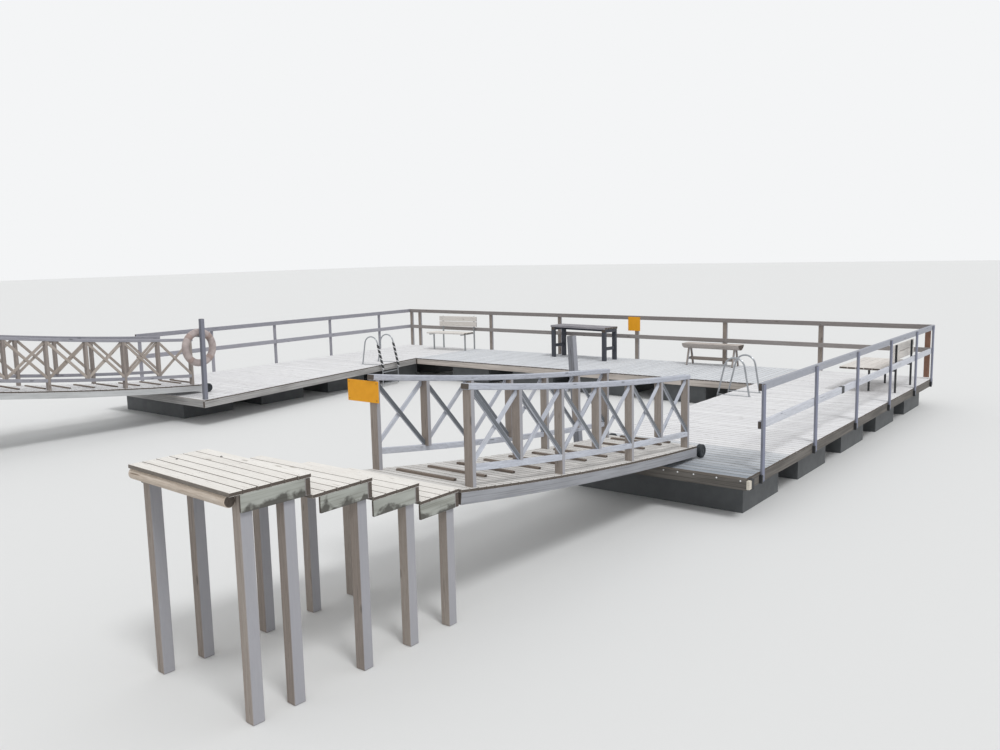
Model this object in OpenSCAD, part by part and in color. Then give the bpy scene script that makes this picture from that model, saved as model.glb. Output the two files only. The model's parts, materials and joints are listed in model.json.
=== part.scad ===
// Floating swimming jetty: three planked pontoon arms round a basin, with two hinged
// gangways and stepped landings.
// Z is up, z = 0 is the level under the floats, and the origin is the middle of the whole object's footprint.

/* [Pontoon arms] */
// Width of the whole jetty over the deck edges
jetty_w = 13500; // [9000:100:18000]
// Length of the side arms, from the shore side to the far edge
arm_l = 8900; // [7000:100:12000]
// Width of the right arm
right_w = 2550; // [2000:50:3200]
// Width of the back arm
back_w = 2300; // [1800:50:3000]
// Width of the left arm at its far end
left_w = 2350; // [1800:50:3000]
// Width of the left arm at its shore end, where it flares out
left_flare_w = 3350; // [2400:50:3800]
// Height of the deck surface above the underside of the floats
deck_h = 500; // [400:10:900]
// Thickness of the deck boards
board_t = 28; // [20:1:45]
// Height of the beams along the deck edges
beam_h = 115; // [80:5:200]
// Thickness of the beams
beam_t = 48; // [30:1:80]
// Length of one float along its arm
float_l = 1100; // [600:50:1400]
// Clear gap between two floats
float_gap = 700; // [300:50:1200]
// Setback of the floats from the deck edges
float_in = 160; // [60:10:400]

/* [Railing] */
// Height of the railing above the deck
rail_top = 1000; // [850:10:1200]
// Height of the top edge of the middle rail above the deck
mid_rail_top = 565; // [400:5:700]
// Height of a rail plank
rail_h = 88; // [60:2:150]
// Thickness of a rail plank
rail_t = 45; // [30:1:60]
// Thickness of a back post across the railing
post_t = 45; // [30:1:80]
// Width of a back post along the railing
post_w = 95; // [60:5:150]
// Thickness of a side post across the railing
side_post_t = 28; // [20:1:60]
// Width of a side post along the railing
side_post_w = 70; // [50:5:120]
// Reach of a post below the deck surface
post_drop = 130; // [60:5:200]
// Distance from the right arm's shore end to its first post
right_first_post = 430; // [200:10:900]
// Distance from the left arm's shore end to its first post
left_first_post = 770; // [200:10:1000]
// Spacing of the posts on the right arm
right_pitch = 1790; // [1200:10:2400]
// Spacing of the posts on the left arm
left_pitch = 1735; // [1200:5:2400]
// Distance from the right corner to the back arm's first free post
first_back_post = 2110; // [1500:10:2500]
// Distance from the right corner to the back arm's second free post
second_back_post = 4160; // [3000:10:5000]
// Spacing of the further posts on the back arm
back_pitch = 2150; // [1500:10:2600]

/* [Gangways] */
// Distance of the right gangway's middle from the jetty's middle
right_gang_x = 5295; // [4000:5:6000]
// Distance of the left gangway's middle from the jetty's middle
left_gang_x = -4835; // [-6000:5:-4000]
// Width of a gangway over its side beams
gang_w = 1210; // [900:10:1600]
// Length of a gangway from hinge end to wheel end
gang_l = 4370; // [3000:10:6000]
// Reach of a gangway over the pontoon's deck
gang_over = 550; // [300:10:900]
// Height of the gangway's shore end above the pontoon's deck
gang_high = 620; // [300:10:900]
// Height of the gangway's wheel end above the pontoon's deck
gang_low = 160; // [150:5:300]
// Sag of the gangway at mid length
gang_sag = 45; // [0:5:120]
// Height of the gangway's side beams
side_beam_h = 100; // [80:5:200]
// Height of the gangway's uprights above its deck
upright_h = 820; // [600:10:1100]
// Width of an upright across the gangway
upright_w = 90; // [60:5:120]
// Thickness of an upright along the gangway
upright_t = 45; // [30:1:60]
// Height of the flat handrail
handrail_h = 52; // [30:1:80]
// Height of the lower rail's top edge above the gangway deck
low_rail_top = 195; // [120:5:300]
// Height of the lower rail
low_rail_h = 55; // [40:5:100]
// Width of a cross brace
brace_w = 45; // [25:1:70]
// Thickness of a cross brace
brace_t = 20; // [12:1:30]
// Spacing of the uprights
upright_pitch = 662; // [500:1:800]
// Distance from the shore end to the first upright's middle
first_upright = 190; // [60:5:400]
// Length of a foot cleat across the gangway
cleat_l = 690; // [400:10:900]
// Spacing of the foot cleats
cleat_pitch = 420; // [250:1:600]
// Distance from the shore end to the first cleat
first_cleat = 290; // [60:10:600]
// Diameter of the wheels
wheel_d = 160; // [130:5:200]
// Width of a wheel
wheel_w = 70; // [50:5:200]
// Diameter of the axle
axle_d = 30; // [20:1:50]
// Diameter of the hinge pins
pin_d = 24; // [16:1:40]

/* [Landing steps] */
// Width of the steps
step_w = 1290; // [1000:10:1800]
// Height of the landing above the pontoon's deck
landing_h = 635; // [300:5:1000]
// Depth of the landing
landing_l = 460; // [400:10:1200]
// Rise from one step to the next
step_rise = 150; // [100:5:190]
// Depth of a step
step_l = 490; // [300:10:700]
// Depth of the highest platform
top_step_l = 630; // [400:10:1500]
// Turn of the highest platform away from the gangway, in degrees
top_turn = 3.1; // [0:0.1:6]
// Number of steps above the landing
step_n = 3; // [1:1:5]
// Width of a leg
leg_w = 90; // [60:5:150]
// Diameter of the log under the highest edge
log_d = 85; // [60:5:180]

/* [Furniture] */
// Diameter of the ladder tube
tube_d = 30; // [25:1:50]
// Width of the right ladder between its hoops
right_ladder_w = 465; // [350:5:700]
// Width of the left ladder between its hoops
left_ladder_w = 600; // [350:5:700]
// Height of the hoops above the deck
hoop_h = 665; // [500:5:800]
// Diameter of the life ring
ring_d = 680; // [500:10:800]
// Diameter of the life ring's body
ring_body = 128; // [60:2:140]
// Height of the life ring's post
ring_post_h = 1460; // [1000:10:1800]
// Lean of the life ring's post away from the ring, in degrees
ring_post_lean = 1.5; // [0:0.1:4]
// Height of the plain post
plain_post_h = 1420; // [800:10:1600]
// Lean of the plain post away from its arm, in degrees
plain_post_lean = 3.6; // [0:0.1:6]

/* [Hidden] */

weathered = "#dcd8d4";
grey_wood = "#9a97a0";
brown_wood = "#8b8078";
pale_wood = "#e6e1d8";
dark_wood = "#5a565a";
pale_paint = "#c4c6c2";
float_grey = "#7d8183";
black = "#23262a";
steel = "#b9bdc1";
sign_yellow = "#e8a51c";
ring_white = "#d8cfc8";

// Heights of the pontoon, counted from the level under the floats
deck_z = deck_h;
beam_z = deck_z - board_t;
float_z = beam_z - beam_h;

// Plan of the jetty: the near edge of the arms and the far edge
hinge_gap = 15;
steps_l = landing_l + (step_n - 1) * step_l + step_w * sin(top_turn) + top_step_l * cos(top_turn);
shore_reach = gang_l - gang_over + hinge_gap + steps_l;
near_y = round((shore_reach - arm_l - post_t) / 2);
far_y = near_y + arm_l;
right_x = jetty_w / 2;
left_x = -jetty_w / 2;
inner_y = far_y - back_w;
right_in_x = right_x - right_w;
left_in_x = left_x + left_w;
left_flare_x = left_x + left_flare_w;
joist_n = 3;

// Plan of the gangways
gang_y = near_y + gang_over - gang_l;
landing_y = gang_y - hinge_gap;
gang_half = gang_w / 2;
upright_in = 12;
upright_n = 7;
cleat_n = 10;
cleat_off = -75;
cleat_w = 45;
cleat_t = 22;
cleats = concat([for (i = [0:cleat_n - 1]) first_cleat + i * cleat_pitch], [gang_l - 70]);
wheel_gap = 5;
wheel_out = 45;
step_set = 6;
axle_s = gang_l + wheel_gap + wheel_d / 2;
axle_z = wheel_gap + wheel_d / 2;
bracket_t = 10;
pin_s = 60;
pin_z = gang_high - 78;
fit = 0.5;
stretches = 12;

// Spots of the furniture on the decks, counted from the right arm's near outer corner
ladder_y = near_y + 5370;
left_ladder_y = near_y + 5445;
ring_post_at = [left_flare_x - 60, near_y + 60];
ring_peg_z = deck_h + 1280;
plain_post_y = near_y + 640;
table_at = [-740, far_y - 430];
table_turn = -7;
log_bench_at = [2440, far_y - 290];
back_bench_at = [-4830, far_y - 440];
back_bench_turn = 5;
side_bench_at = [right_x - 450, near_y + 7250];
plate_x = right_x - second_back_post - back_pitch - 40;

// Posts of the side arms stand in regular rows; the right one has two more near its far corner
right_corner_in = 190;
right_last_bay = 1240;
back_corner_in = 120;
right_posts = concat(
    [for (y = [near_y + right_first_post:right_pitch:far_y - 2200]) y],
    [far_y - right_corner_in - right_last_bay, far_y - right_corner_in]
);
left_posts = [for (y = [near_y + left_first_post:left_pitch:far_y - 600]) y];
back_posts = concat(
    [right_x - back_corner_in, right_x - first_back_post],
    [for (x = [right_x - second_back_post:-back_pitch:left_x + 1600]) x],
    [left_x + 370, left_x + 60]
);

// Height of the gangway's deck above the pontoon's deck, at the distance s from the shore end
function sagging(s) = gang_high - (gang_high - gang_low) * s / gang_l
    - 4 * gang_sag * (s / gang_l) * (1 - s / gang_l);

// The sagging deck is built of straight stretches, and all that stands on it follows them
stretch_l = gang_l / stretches;
function gang_top(s) = let (i = min(floor(s / stretch_l), stretches - 1), t = s / stretch_l - i)
    sagging(i * stretch_l) * (1 - t) + sagging((i + 1) * stretch_l) * t;

// Breadth of a closed joint, so that timbers that meet don't cut into each other
hair = 0.01;

// Outline of a band that follows the deck between two distances and two heights
function band(s0, s1, low, high) = let (
    marks = [for (i = [1:stretches - 1]) i * stretch_l],
    inner = [for (s = marks) if (s > s0 + hair && s < s1 - hair) s],
    stations = concat([s0], inner, [s1]),
    last = len(stations) - 1
) concat(
    [for (s = stations) [s, gang_top(s) + high]],
    [for (i = [last:-1:0]) [stations[i], gang_top(stations[i]) + low]]
);

function upright_s(i) = first_upright + i * upright_pitch;

module block(x, y, z) {
    translate([x[0], y[0], z[0]])
        cube([x[1] - x[0], y[1] - y[0], z[1] - z[0]]);
}

// A plan outline raised between two heights
module slab(points, z0, z1) {
    translate([0, 0, z0])
        linear_extrude(z1 - z0)
            polygon(points);
}

// A side view drawn in Y and Z, spread along X
module side_view(x0, x1) {
    translate([x0, 0, 0])
        rotate([90, 0, 90])
            linear_extrude(x1 - x0)
                children();
}

// Plans of the three arms
right_plan = [[right_in_x, near_y], [right_x, near_y], [right_x, far_y], [right_in_x, far_y]];
back_plan = [[left_in_x, inner_y], [right_in_x, inner_y], [right_in_x, far_y], [left_in_x, far_y]];
left_plan = [
    [left_x, near_y], [left_flare_x, near_y], [left_in_x, inner_y], [left_in_x, far_y], [left_x, far_y]
];

module right_deck() {
    color(weathered)
        slab(right_plan, beam_z, deck_z);
}

module back_deck() {
    color(weathered)
        slab(back_plan, beam_z, deck_z);
}

module left_deck() {
    color(weathered)
        slab(left_plan, beam_z, deck_z);
}

// The timbers of a frame are separate, with a hair's breadth between them
butt = 1;

module right_frame() {
    joist_gap = (right_w - beam_t) / (joist_n + 1);
    z = [float_z, beam_z];
    color(grey_wood) {
        for (y = [near_y, far_y - beam_t])
            block([right_in_x, right_x], [y, y + beam_t], z);
        for (i = [0:joist_n + 1]) {
            x = right_in_x + i * joist_gap;
            block([x, x + beam_t], [near_y + beam_t + butt, far_y - beam_t - butt], z);
        }
    }
}

module back_frame() {
    joist_gap = (back_w - beam_t) / (joist_n + 1);
    z = [float_z, beam_z];
    color(grey_wood) {
        for (x = [left_in_x + butt, right_in_x - beam_t - butt])
            block([x, x + beam_t], [inner_y, far_y], z);
        for (i = [0:joist_n + 1]) {
            y = inner_y + i * joist_gap;
            block([left_in_x + beam_t + 2 * butt, right_in_x - beam_t - 2 * butt], [y, y + beam_t], z);
        }
    }
}

// Where the flared edge of the left arm is at a given Y, and at a given X
function left_edge_x(y) = left_flare_x
    + (left_in_x - left_flare_x) * (y - near_y) / (inner_y - near_y);
function left_edge_y(x) = near_y
    + (x - left_flare_x) * (inner_y - near_y) / (left_in_x - left_flare_x);

module left_frame() {
    joist_gap = (left_w - beam_t) / (joist_n + 1);
    near_joist_y = near_y + beam_t + butt;
    far_joist_y = far_y - beam_t - butt;
    z = [float_z, beam_z];
    color(grey_wood) {
        block([left_x, left_edge_x(near_joist_y) - beam_t - butt], [near_y, near_y + beam_t], z);
        block([left_x, left_in_x], [far_y - beam_t, far_y], z);
        for (i = [0:joist_n]) {
            x = left_x + i * joist_gap;
            block([x, x + beam_t], [near_joist_y, far_joist_y], z);
        }
        for (i = [joist_n + 1:floor((left_flare_w - 2 * beam_t) / joist_gap)]) {
            x = left_x + i * joist_gap;
            block([x, x + beam_t], [near_joist_y, left_edge_y(x + 2 * beam_t + butt)], z);
        }
        block([left_in_x - beam_t, left_in_x], [inner_y + butt, far_joist_y], z);
        slab(
            [
                [left_flare_x, near_y], [left_in_x, inner_y],
                [left_in_x - beam_t, inner_y], [left_flare_x - beam_t, near_y]
            ],
            float_z, beam_z
        );
    }
}

// A row of floats between two limits along the arm
function float_count(l) = floor((l - 2 * float_in + float_gap) / (float_l + float_gap));
function float_start(l, i) = (l - float_count(l) * (float_l + float_gap) + float_gap) / 2
    + i * (float_l + float_gap);

module right_floats() {
    color(float_grey)
        for (i = [0:float_count(arm_l) - 1]) {
            y = near_y + float_start(arm_l, i);
            block([right_in_x + float_in, right_x - float_in], [y, y + float_l], [0, float_z]);
        }
}

module left_floats() {
    color(float_grey)
        for (i = [0:float_count(arm_l) - 1]) {
            y = near_y + float_start(arm_l, i);
            block([left_x + float_in, left_in_x - float_in], [y, y + float_l], [0, float_z]);
        }
}

module back_floats() {
    back_l = right_in_x - left_in_x;
    color(float_grey)
        for (i = [0:float_count(back_l) - 1]) {
            x = left_in_x + float_start(back_l, i);
            block([x, x + float_l], [inner_y + float_in, far_y - float_in], [0, float_z]);
        }
}

// Railing posts stand against the outside of the edge beams
post_span = [deck_z - post_drop, deck_z + rail_top - 12];

module side_rail_posts(x0, posts) {
    color(brown_wood)
        for (y = posts)
            block([x0, x0 + side_post_t], [y - side_post_w / 2, y + side_post_w / 2], post_span);
}

module right_rail_posts() {
    side_rail_posts(right_x, right_posts);
}

module left_rail_posts() {
    side_rail_posts(left_x - side_post_t, left_posts);
}

module back_rail_posts() {
    color(brown_wood)
        for (x = back_posts)
            block([x - post_w / 2, x + post_w / 2], [far_y, far_y + post_t], post_span);
}

// Planks of a railing along the inner face of the posts
right_rail_over = 20;
left_rail_over = 100;

module rail_pair(x, y) {
    color(grey_wood)
        for (top = [mid_rail_top, rail_top])
            block(x, y, [deck_z + top - rail_h, deck_z + top]);
}

module right_rails() {
    rail_pair([right_x - rail_t, right_x], [near_y + right_first_post - right_rail_over, far_y]);
}

module left_rails() {
    rail_pair([left_x, left_x + rail_t], [near_y + left_first_post - left_rail_over, far_y]);
}

module back_rails() {
    rail_pair([left_x + rail_t, right_x - rail_t], [far_y - rail_t, far_y]);
}

// Black steel shoes clasp the feet of the side posts
shoe_h = 95;
shoe_l = 30;
shoe_t = side_post_t + 8;

module shoe_row(x, posts) {
    low = deck_z - post_drop - 10;
    for (y = posts)
        block([x, x + shoe_t], [y - side_post_w / 2 - shoe_l, y - side_post_w / 2], [low, low + shoe_h]);
}

module post_shoes() {
    color(black) {
        shoe_row(right_x, right_posts);
        shoe_row(left_x - shoe_t, left_posts);
    }
}

// A bathing ladder: two hoops over the deck edge with rungs below, drawn with the water towards +X
hoop_r = 183;
hoop_back = 218;
water_slant = 13.5;
deck_slant = 10;
rung_n = 3;
rung_d = 26;
arc_rise = hoop_h - tube_d / 2 - hoop_r;
water_rise = arc_rise + hoop_r * sin(water_slant);
deck_rise = arc_rise + hoop_r * sin(deck_slant);
water_x = -hoop_back + hoop_r * cos(water_slant) + water_rise * tan(water_slant);
foot_x = -hoop_back - hoop_r * cos(deck_slant) - deck_rise * tan(deck_slant);
bar_t = 8;

module hoop_joint(x, rise) {
    translate([x, 0, deck_z + rise])
        sphere(d = tube_d + 2, $fn = 32);
}

module hoop() {
    low = deck_z - 470;
    hoop_joint(water_x, 0);
    hoop_joint(hoop_r * cos(water_slant) - hoop_back, water_rise);
    hoop_joint(-hoop_r * cos(deck_slant) - hoop_back, deck_rise);
    translate([water_x, 0, low])
        cylinder(d = tube_d, h = deck_z - low, $fn = 32);
    translate([water_x, 0, deck_z])
        rotate([0, -water_slant, 0])
            cylinder(d = tube_d, h = water_rise / cos(water_slant), $fn = 32);
    translate([-hoop_back, 0, deck_z + arc_rise])
        rotate([90, 0, 0])
            rotate([0, 0, water_slant])
                rotate_extrude(angle = 180 - water_slant - deck_slant, $fn = 64)
                    translate([hoop_r, 0])
                        circle(d = tube_d, $fn = 32);
    translate([foot_x, 0, deck_z])
        rotate([0, deck_slant, 0])
            translate([0, 0, bar_t / 2])
                cylinder(d = tube_d, h = deck_rise / cos(deck_slant) - bar_t / 2, $fn = 32);
    block([foot_x - 25, water_x], [-tube_d / 2 - 4, tube_d / 2 + 4], [deck_z, deck_z + bar_t]);
}

module ladder(w) {
    color(steel) {
        for (side = [-1, 1])
            translate([0, side * w / 2, 0])
                hoop();
        for (i = [0:rung_n - 1])
            translate([water_x, -w / 2, deck_z - 170 - i * 130])
                rotate([-90, 0, 0])
                    cylinder(d = rung_d, h = w, $fn = 24);
    }
}

module right_ladder() {
    translate([right_in_x, ladder_y, 0])
        rotate([0, 0, 180])
            ladder(right_ladder_w);
}

module left_ladder() {
    slope = atan((left_flare_x - left_in_x) / (inner_y - near_y));
    translate([left_edge_x(left_ladder_y), left_ladder_y, 0])
        rotate([0, 0, slope])
            ladder(left_ladder_w);
}

// The life ring hangs on a peg behind its post, at the corner of the left arm
ring_post_w = 72;
peg_d = 26;

ring_x = ring_post_at[0] - ring_post_w / 2 - ring_body / 2 + 12;

module life_ring_post() {
    color(grey_wood) {
        translate([ring_post_at[0], ring_post_at[1], deck_z + 1])
            rotate([0, ring_post_lean, 0])
                block([-ring_post_w / 2, ring_post_w / 2], [-ring_post_w / 2, ring_post_w / 2],
                    [0, ring_post_h]);
        translate([ring_x - ring_body / 2 - 25, ring_post_at[1], ring_peg_z - ring_body - peg_d / 2])
            rotate([0, 90, 0])
                cylinder(d = peg_d, h = ring_body + 75, $fn = 24);
    }
}

module life_ring() {
    color(ring_white)
        translate([ring_x, ring_post_at[1], ring_peg_z + 0.5 - ring_d / 2])
            rotate([0, 90, 0])
                rotate_extrude($fn = 64)
                    translate([(ring_d - ring_body) / 2, 0])
                        circle(d = ring_body, $fn = 32);
}

// Bare yellow plates on the back railing and on the right gangway
plate_t = 8;
plate_w = 310;

module back_plate() {
    color(sign_yellow)
        block(
            [plate_x - plate_w / 2, plate_x + plate_w / 2],
            [far_y - rail_t - plate_t, far_y - rail_t],
            [deck_z + 655, deck_z + 975]
        );
}

// A plain post fixed to the inner edge of the right arm, leaning outwards
module plain_post() {
    post = 90;
    foot_z = float_z + 5;
    color(grey_wood)
        translate([right_in_x, plain_post_y, foot_z])
            rotate([0, -plain_post_lean, 0])
                block([-post, 0], [-post / 2, post / 2], [0, plain_post_h + deck_z - foot_z]);
}

// A plain table with H shaped ends
module table() {
    table_l = 1640;
    table_w = 480;
    table_h = 765;
    top_t = 45;
    leg_x = table_l / 2 - 55;
    leg_y = table_w / 2 - 50;
    color(dark_wood)
        translate([table_at[0], table_at[1], deck_z])
            rotate([0, 0, table_turn]) {
                block([-table_l / 2, table_l / 2], [-table_w / 2, table_w / 2], [table_h - top_t, table_h]);
                for (x = [-leg_x, leg_x]) {
                    for (y = [-leg_y, leg_y])
                        block([x - 55, x + 55], [y - 24, y + 24], [0, table_h - top_t]);
                    block([x - 24, x + 24], [-leg_y, leg_y], [240, 310]);
                    block([x - 55, x + 55], [-leg_y, leg_y], [table_h - top_t - 70, table_h - top_t]);
                }
                block([-leg_x, leg_x], [leg_y, leg_y + 24], [table_h - top_t - 90, table_h - top_t]);
            }
}

// A bench made of a log's outer slab on splayed legs
module log_bench() {
    bench_l = 1290;
    seat_r = 160;
    seat_up = 45;
    seat_z = 470;
    leg_d = 48;
    splay = 16;
    leg_x = bench_l / 2 - 125;
    color(brown_wood)
        translate([log_bench_at[0], log_bench_at[1], deck_z]) {
            intersection() {
                translate([-bench_l / 2, 0, seat_z + seat_up])
                    rotate([0, 90, 0])
                        cylinder(r = seat_r, h = bench_l, $fn = 48);
                block([-bench_l, bench_l], [-seat_r, seat_r], [seat_z - seat_r, seat_z]);
            }
            intersection() {
                for (x = [-leg_x, leg_x])
                    for (side = [-1, 1])
                        translate([x, side * 40, seat_z - 70])
                            rotate([180 + side * splay, 0, 0])
                                cylinder(d = leg_d, h = seat_z, $fn = 24);
                block([-bench_l, bench_l], [-400, 400], [0, seat_z - 50]);
            }
            for (x = [-leg_x, leg_x])
                block([x - 18, x + 18], [-110, 110], [120, 165]);
            block([-leg_x, leg_x], [-14, 14], [105, 180]);
        }
}

// A steel legged bench with plank seat and back, drawn with its back towards +Y
module bench(bench_l, leg_x, seat_z, seat_front) {
    leg = 30;
    seat_t = 35;
    front = -115;
    back = 315;
    seat_back = 124;
    plank_gap = 7;
    plank_n = round((seat_back - seat_front) / 145);
    plank_pitch = (seat_back - seat_front + plank_gap) / plank_n;
    for (x = [-leg_x - leg / 2, leg_x - leg / 2]) {
        block([x, x + leg], [front - leg / 2, front + leg / 2], [0, seat_z - seat_t]);
        block([x, x + leg], [back - leg / 2, back + leg / 2], [0, seat_z + 390]);
        block([x, x + leg], [seat_front + 10, back], [seat_z - seat_t - leg, seat_z - seat_t]);
    }
    for (i = [0:plank_n - 1]) {
        y = seat_front + i * plank_pitch;
        block([-bench_l / 2, bench_l / 2], [y, y + plank_pitch - plank_gap], [seat_z - seat_t, seat_z]);
    }
    for (z = [120, 260])
        block(
            [-bench_l / 2, bench_l / 2],
            [back - leg / 2 - 25, back - leg / 2],
            [seat_z + z, seat_z + z + 125]
        );
}

module back_bench() {
    color(pale_wood)
        translate([back_bench_at[0], back_bench_at[1], deck_z])
            rotate([0, 0, back_bench_turn])
                bench(1200, 500, 470, -310);
}

module side_bench() {
    color(pale_wood)
        translate([side_bench_at[0], side_bench_at[1], deck_z])
            rotate([0, 0, -90])
                bench(1500, 520, 430, -550);
}

// Each gangway is drawn from its shore end along +Y and carried to its place
module at_gangway(x) {
    translate([x, gang_y, deck_z])
        children();
}

module gangway_deck() {
    color(weathered) {
        side_view(-gang_half, gang_half)
            polygon(band(0, gang_l, -board_t, 0));
        for (s = cleats)
            side_view(cleat_off - cleat_l / 2, cleat_off + cleat_l / 2)
                polygon(band(s, s + cleat_w, -1, cleat_t));
    }
}

inner_beam_x = 190;
cross_t = 45;

module beam_along(x) {
    side_view(x, x + beam_t)
        polygon(band(0, gang_l, -board_t - side_beam_h, -board_t));
}

// Two side beams bored for the hinge pins, two inner beams, and short cross beams between them
module gangway_beams() {
    color(pale_paint) {
        difference() {
            for (x = [-gang_half, gang_half - beam_t])
                beam_along(x);
            translate([-gang_half - 1, pin_s, pin_z])
                rotate([0, 90, 0])
                    cylinder(d = pin_d + 2 * fit, h = gang_w + 2, $fn = 48);
        }
        for (x = [-inner_beam_x, inner_beam_x - beam_t])
            beam_along(x);
        for (s = [130, gang_l / 2, gang_l - cross_t])
            for (bay = [
                [-gang_half + beam_t, -inner_beam_x],
                [-inner_beam_x + beam_t, inner_beam_x - beam_t],
                [inner_beam_x, gang_half - beam_t]
            ])
                side_view(bay[0] + butt, bay[1] - butt)
                    polygon(band(s, s + cross_t, -board_t - side_beam_h, -board_t));
    }
}

// Full uprights stand on the deck, short ones on the lower rail
module gangway_uprights() {
    color(brown_wood)
        for (side = [-1, 1]) {
            x0 = side > 0 ? gang_half - upright_in - upright_w : -gang_half + upright_in;
            for (i = [0:upright_n - 1]) {
                s = upright_s(i) - upright_t / 2;
                low = i % 2 == 0 ? 0 : low_rail_top;
                side_view(x0, x0 + upright_w)
                    polygon(band(s, s + upright_t, low + hair, upright_h - hair));
            }
        }
}

module gangway_handrails() {
    color(grey_wood)
        for (side = [-1, 1]) {
            x0 = side > 0 ? gang_half - upright_in - upright_w : -gang_half + upright_in;
            side_view(x0, x0 + upright_w)
                polygon(band(
                    upright_s(0) - upright_t / 2 - 20,
                    upright_s(upright_n - 1) + upright_t / 2 + 25,
                    upright_h, upright_h + handrail_h
                ));
        }
}

module gangway_lower_rails() {
    color(grey_wood)
        for (side = [-1, 1]) {
            x0 = side > 0 ? gang_half - upright_in - beam_t : -gang_half + upright_in;
            for (i = [0:2:upright_n - 3])
                side_view(x0, x0 + beam_t)
                    polygon(band(
                        upright_s(i) + upright_t / 2,
                        upright_s(i + 2) - upright_t / 2,
                        low_rail_top - low_rail_h, low_rail_top
                    ));
        }
}

// One lath of a cross, cut to the clear panel between two uprights
module lath(i, rising) {
    s0 = upright_s(i) + upright_t / 2;
    s1 = upright_s(i + 1) - upright_t / 2;
    z0 = gang_top(s0) + (rising ? low_rail_top : upright_h);
    z1 = gang_top(s1) + (rising ? upright_h : low_rail_top);
    long = norm([s1 - s0, z1 - z0]);
    intersection() {
        polygon(band(s0 + fit, s1 - fit, low_rail_top + fit, upright_h - fit));
        translate([s0, z0])
            rotate(atan2(z1 - z0, s1 - s0))
                translate([-50, -brace_w / 2])
                    square([long + 100, brace_w]);
    }
}

module gangway_braces() {
    color(grey_wood)
        for (side = [-1, 1]) {
            x0 = side > 0 ? gang_half - upright_in - 5 : -gang_half + upright_in + 5 + 2 * brace_t;
            for (i = [0:upright_n - 2]) {
                side_view(x0 - brace_t, x0)
                    lath(i, false);
                side_view(x0 - 2 * brace_t, x0 - brace_t - fit)
                    lath(i, true);
            }
        }
}

// Steel brackets on the end of the last cross beam carry the axle
bracket_x = gang_half + wheel_out - wheel_w - 8 - bracket_t;
flange_w = 50;
flange_t = 3;
eye_r = 30;

module wheel_brackets() {
    color(steel)
        for (side = [-1, 1]) {
            x0 = side > 0 ? bracket_x : -bracket_x - bracket_t;
            flange_x = side > 0 ? x0 + bracket_t - flange_w : x0;
            difference() {
                union() {
                    side_view(x0, x0 + bracket_t)
                        polygon([
                            [gang_l, axle_z - eye_r - 10], [gang_l, axle_z + eye_r + 10],
                            [axle_s, axle_z + eye_r], [axle_s + eye_r, axle_z + eye_r - 12],
                            [axle_s + eye_r, axle_z - eye_r + 12], [axle_s, axle_z - eye_r]
                        ]);
                    block(
                        [flange_x, flange_x + flange_w],
                        [gang_l, gang_l + flange_t],
                        [axle_z - eye_r - 10, axle_z + eye_r + 10]
                    );
                }
                translate([x0 - 1, axle_s, axle_z])
                    rotate([0, 90, 0])
                        cylinder(d = axle_d + 2 * fit, h = bracket_t + 2, $fn = 48);
            }
        }
}

// Two rubber wheels on one turning axle
module gangway_wheels() {
    color(black)
        translate([0, axle_s, axle_z])
            rotate([0, 90, 0]) {
                for (side = [-1, 1])
                    translate([0, 0, side > 0 ? gang_half + wheel_out - wheel_w : -gang_half - wheel_out])
                        cylinder(d = wheel_d, h = wheel_w, $fn = 64);
                translate([0, 0, -gang_half])
                    cylinder(d = axle_d, h = gang_w, $fn = 48);
            }
}

// Steel lugs on the landing hold the hinge pins
lug_t = 12;

module hinge_lugs() {
    color(steel)
        for (side = [-1, 1]) {
            x0 = side > 0 ? inner_beam_x + 30 : -inner_beam_x - 30 - lug_t;
            pin_x = side > 0 ? x0 : -gang_half;
            block([x0, x0 + lug_t], [-hinge_gap - step_set, pin_s + 22], [pin_z - 30, pin_z + 30]);
            translate([pin_x, pin_s, pin_z])
                rotate([0, 90, 0])
                    cylinder(d = pin_d, h = gang_half - inner_beam_x - 30, $fn = 48);
        }
}

gang_plate_w = 390;
gang_plate_h = 195;

module gangway_plate() {
    x1 = -gang_half + upright_in + upright_w + 30;
    s1 = upright_s(0) - upright_t / 2;
    top = gang_top(s1) + upright_h - 10;
    color(sign_yellow)
        at_gangway(right_gang_x)
            block([x1 - gang_plate_w, x1], [s1 - plate_t, s1], [top - gang_plate_h, top]);
}

module right_gangway_deck() {
    at_gangway(right_gang_x) gangway_deck();
}

module right_gangway_beams() {
    at_gangway(right_gang_x) gangway_beams();
}

module right_gangway_uprights() {
    at_gangway(right_gang_x) gangway_uprights();
}

module right_gangway_handrails() {
    at_gangway(right_gang_x) gangway_handrails();
}

module right_gangway_lower_rails() {
    at_gangway(right_gang_x) gangway_lower_rails();
}

module right_gangway_braces() {
    at_gangway(right_gang_x) gangway_braces();
}

module right_wheel_brackets() {
    at_gangway(right_gang_x) wheel_brackets();
}

module right_gangway_wheels() {
    at_gangway(right_gang_x) gangway_wheels();
}

module right_hinge_lugs() {
    at_gangway(right_gang_x) hinge_lugs();
}

module left_gangway_deck() {
    at_gangway(left_gang_x) gangway_deck();
}

module left_gangway_beams() {
    at_gangway(left_gang_x) gangway_beams();
}

module left_gangway_uprights() {
    at_gangway(left_gang_x) gangway_uprights();
}

module left_gangway_handrails() {
    at_gangway(left_gang_x) gangway_handrails();
}

module left_gangway_lower_rails() {
    at_gangway(left_gang_x) gangway_lower_rails();
}

module left_gangway_braces() {
    at_gangway(left_gang_x) gangway_braces();
}

module left_wheel_brackets() {
    at_gangway(left_gang_x) wheel_brackets();
}

module left_gangway_wheels() {
    at_gangway(left_gang_x) gangway_wheels();
}

module left_hinge_lugs() {
    at_gangway(left_gang_x) hinge_lugs();
}

// The steps climb from the landing towards -Y; platform 0 is the landing
step_off = 45;

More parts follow.
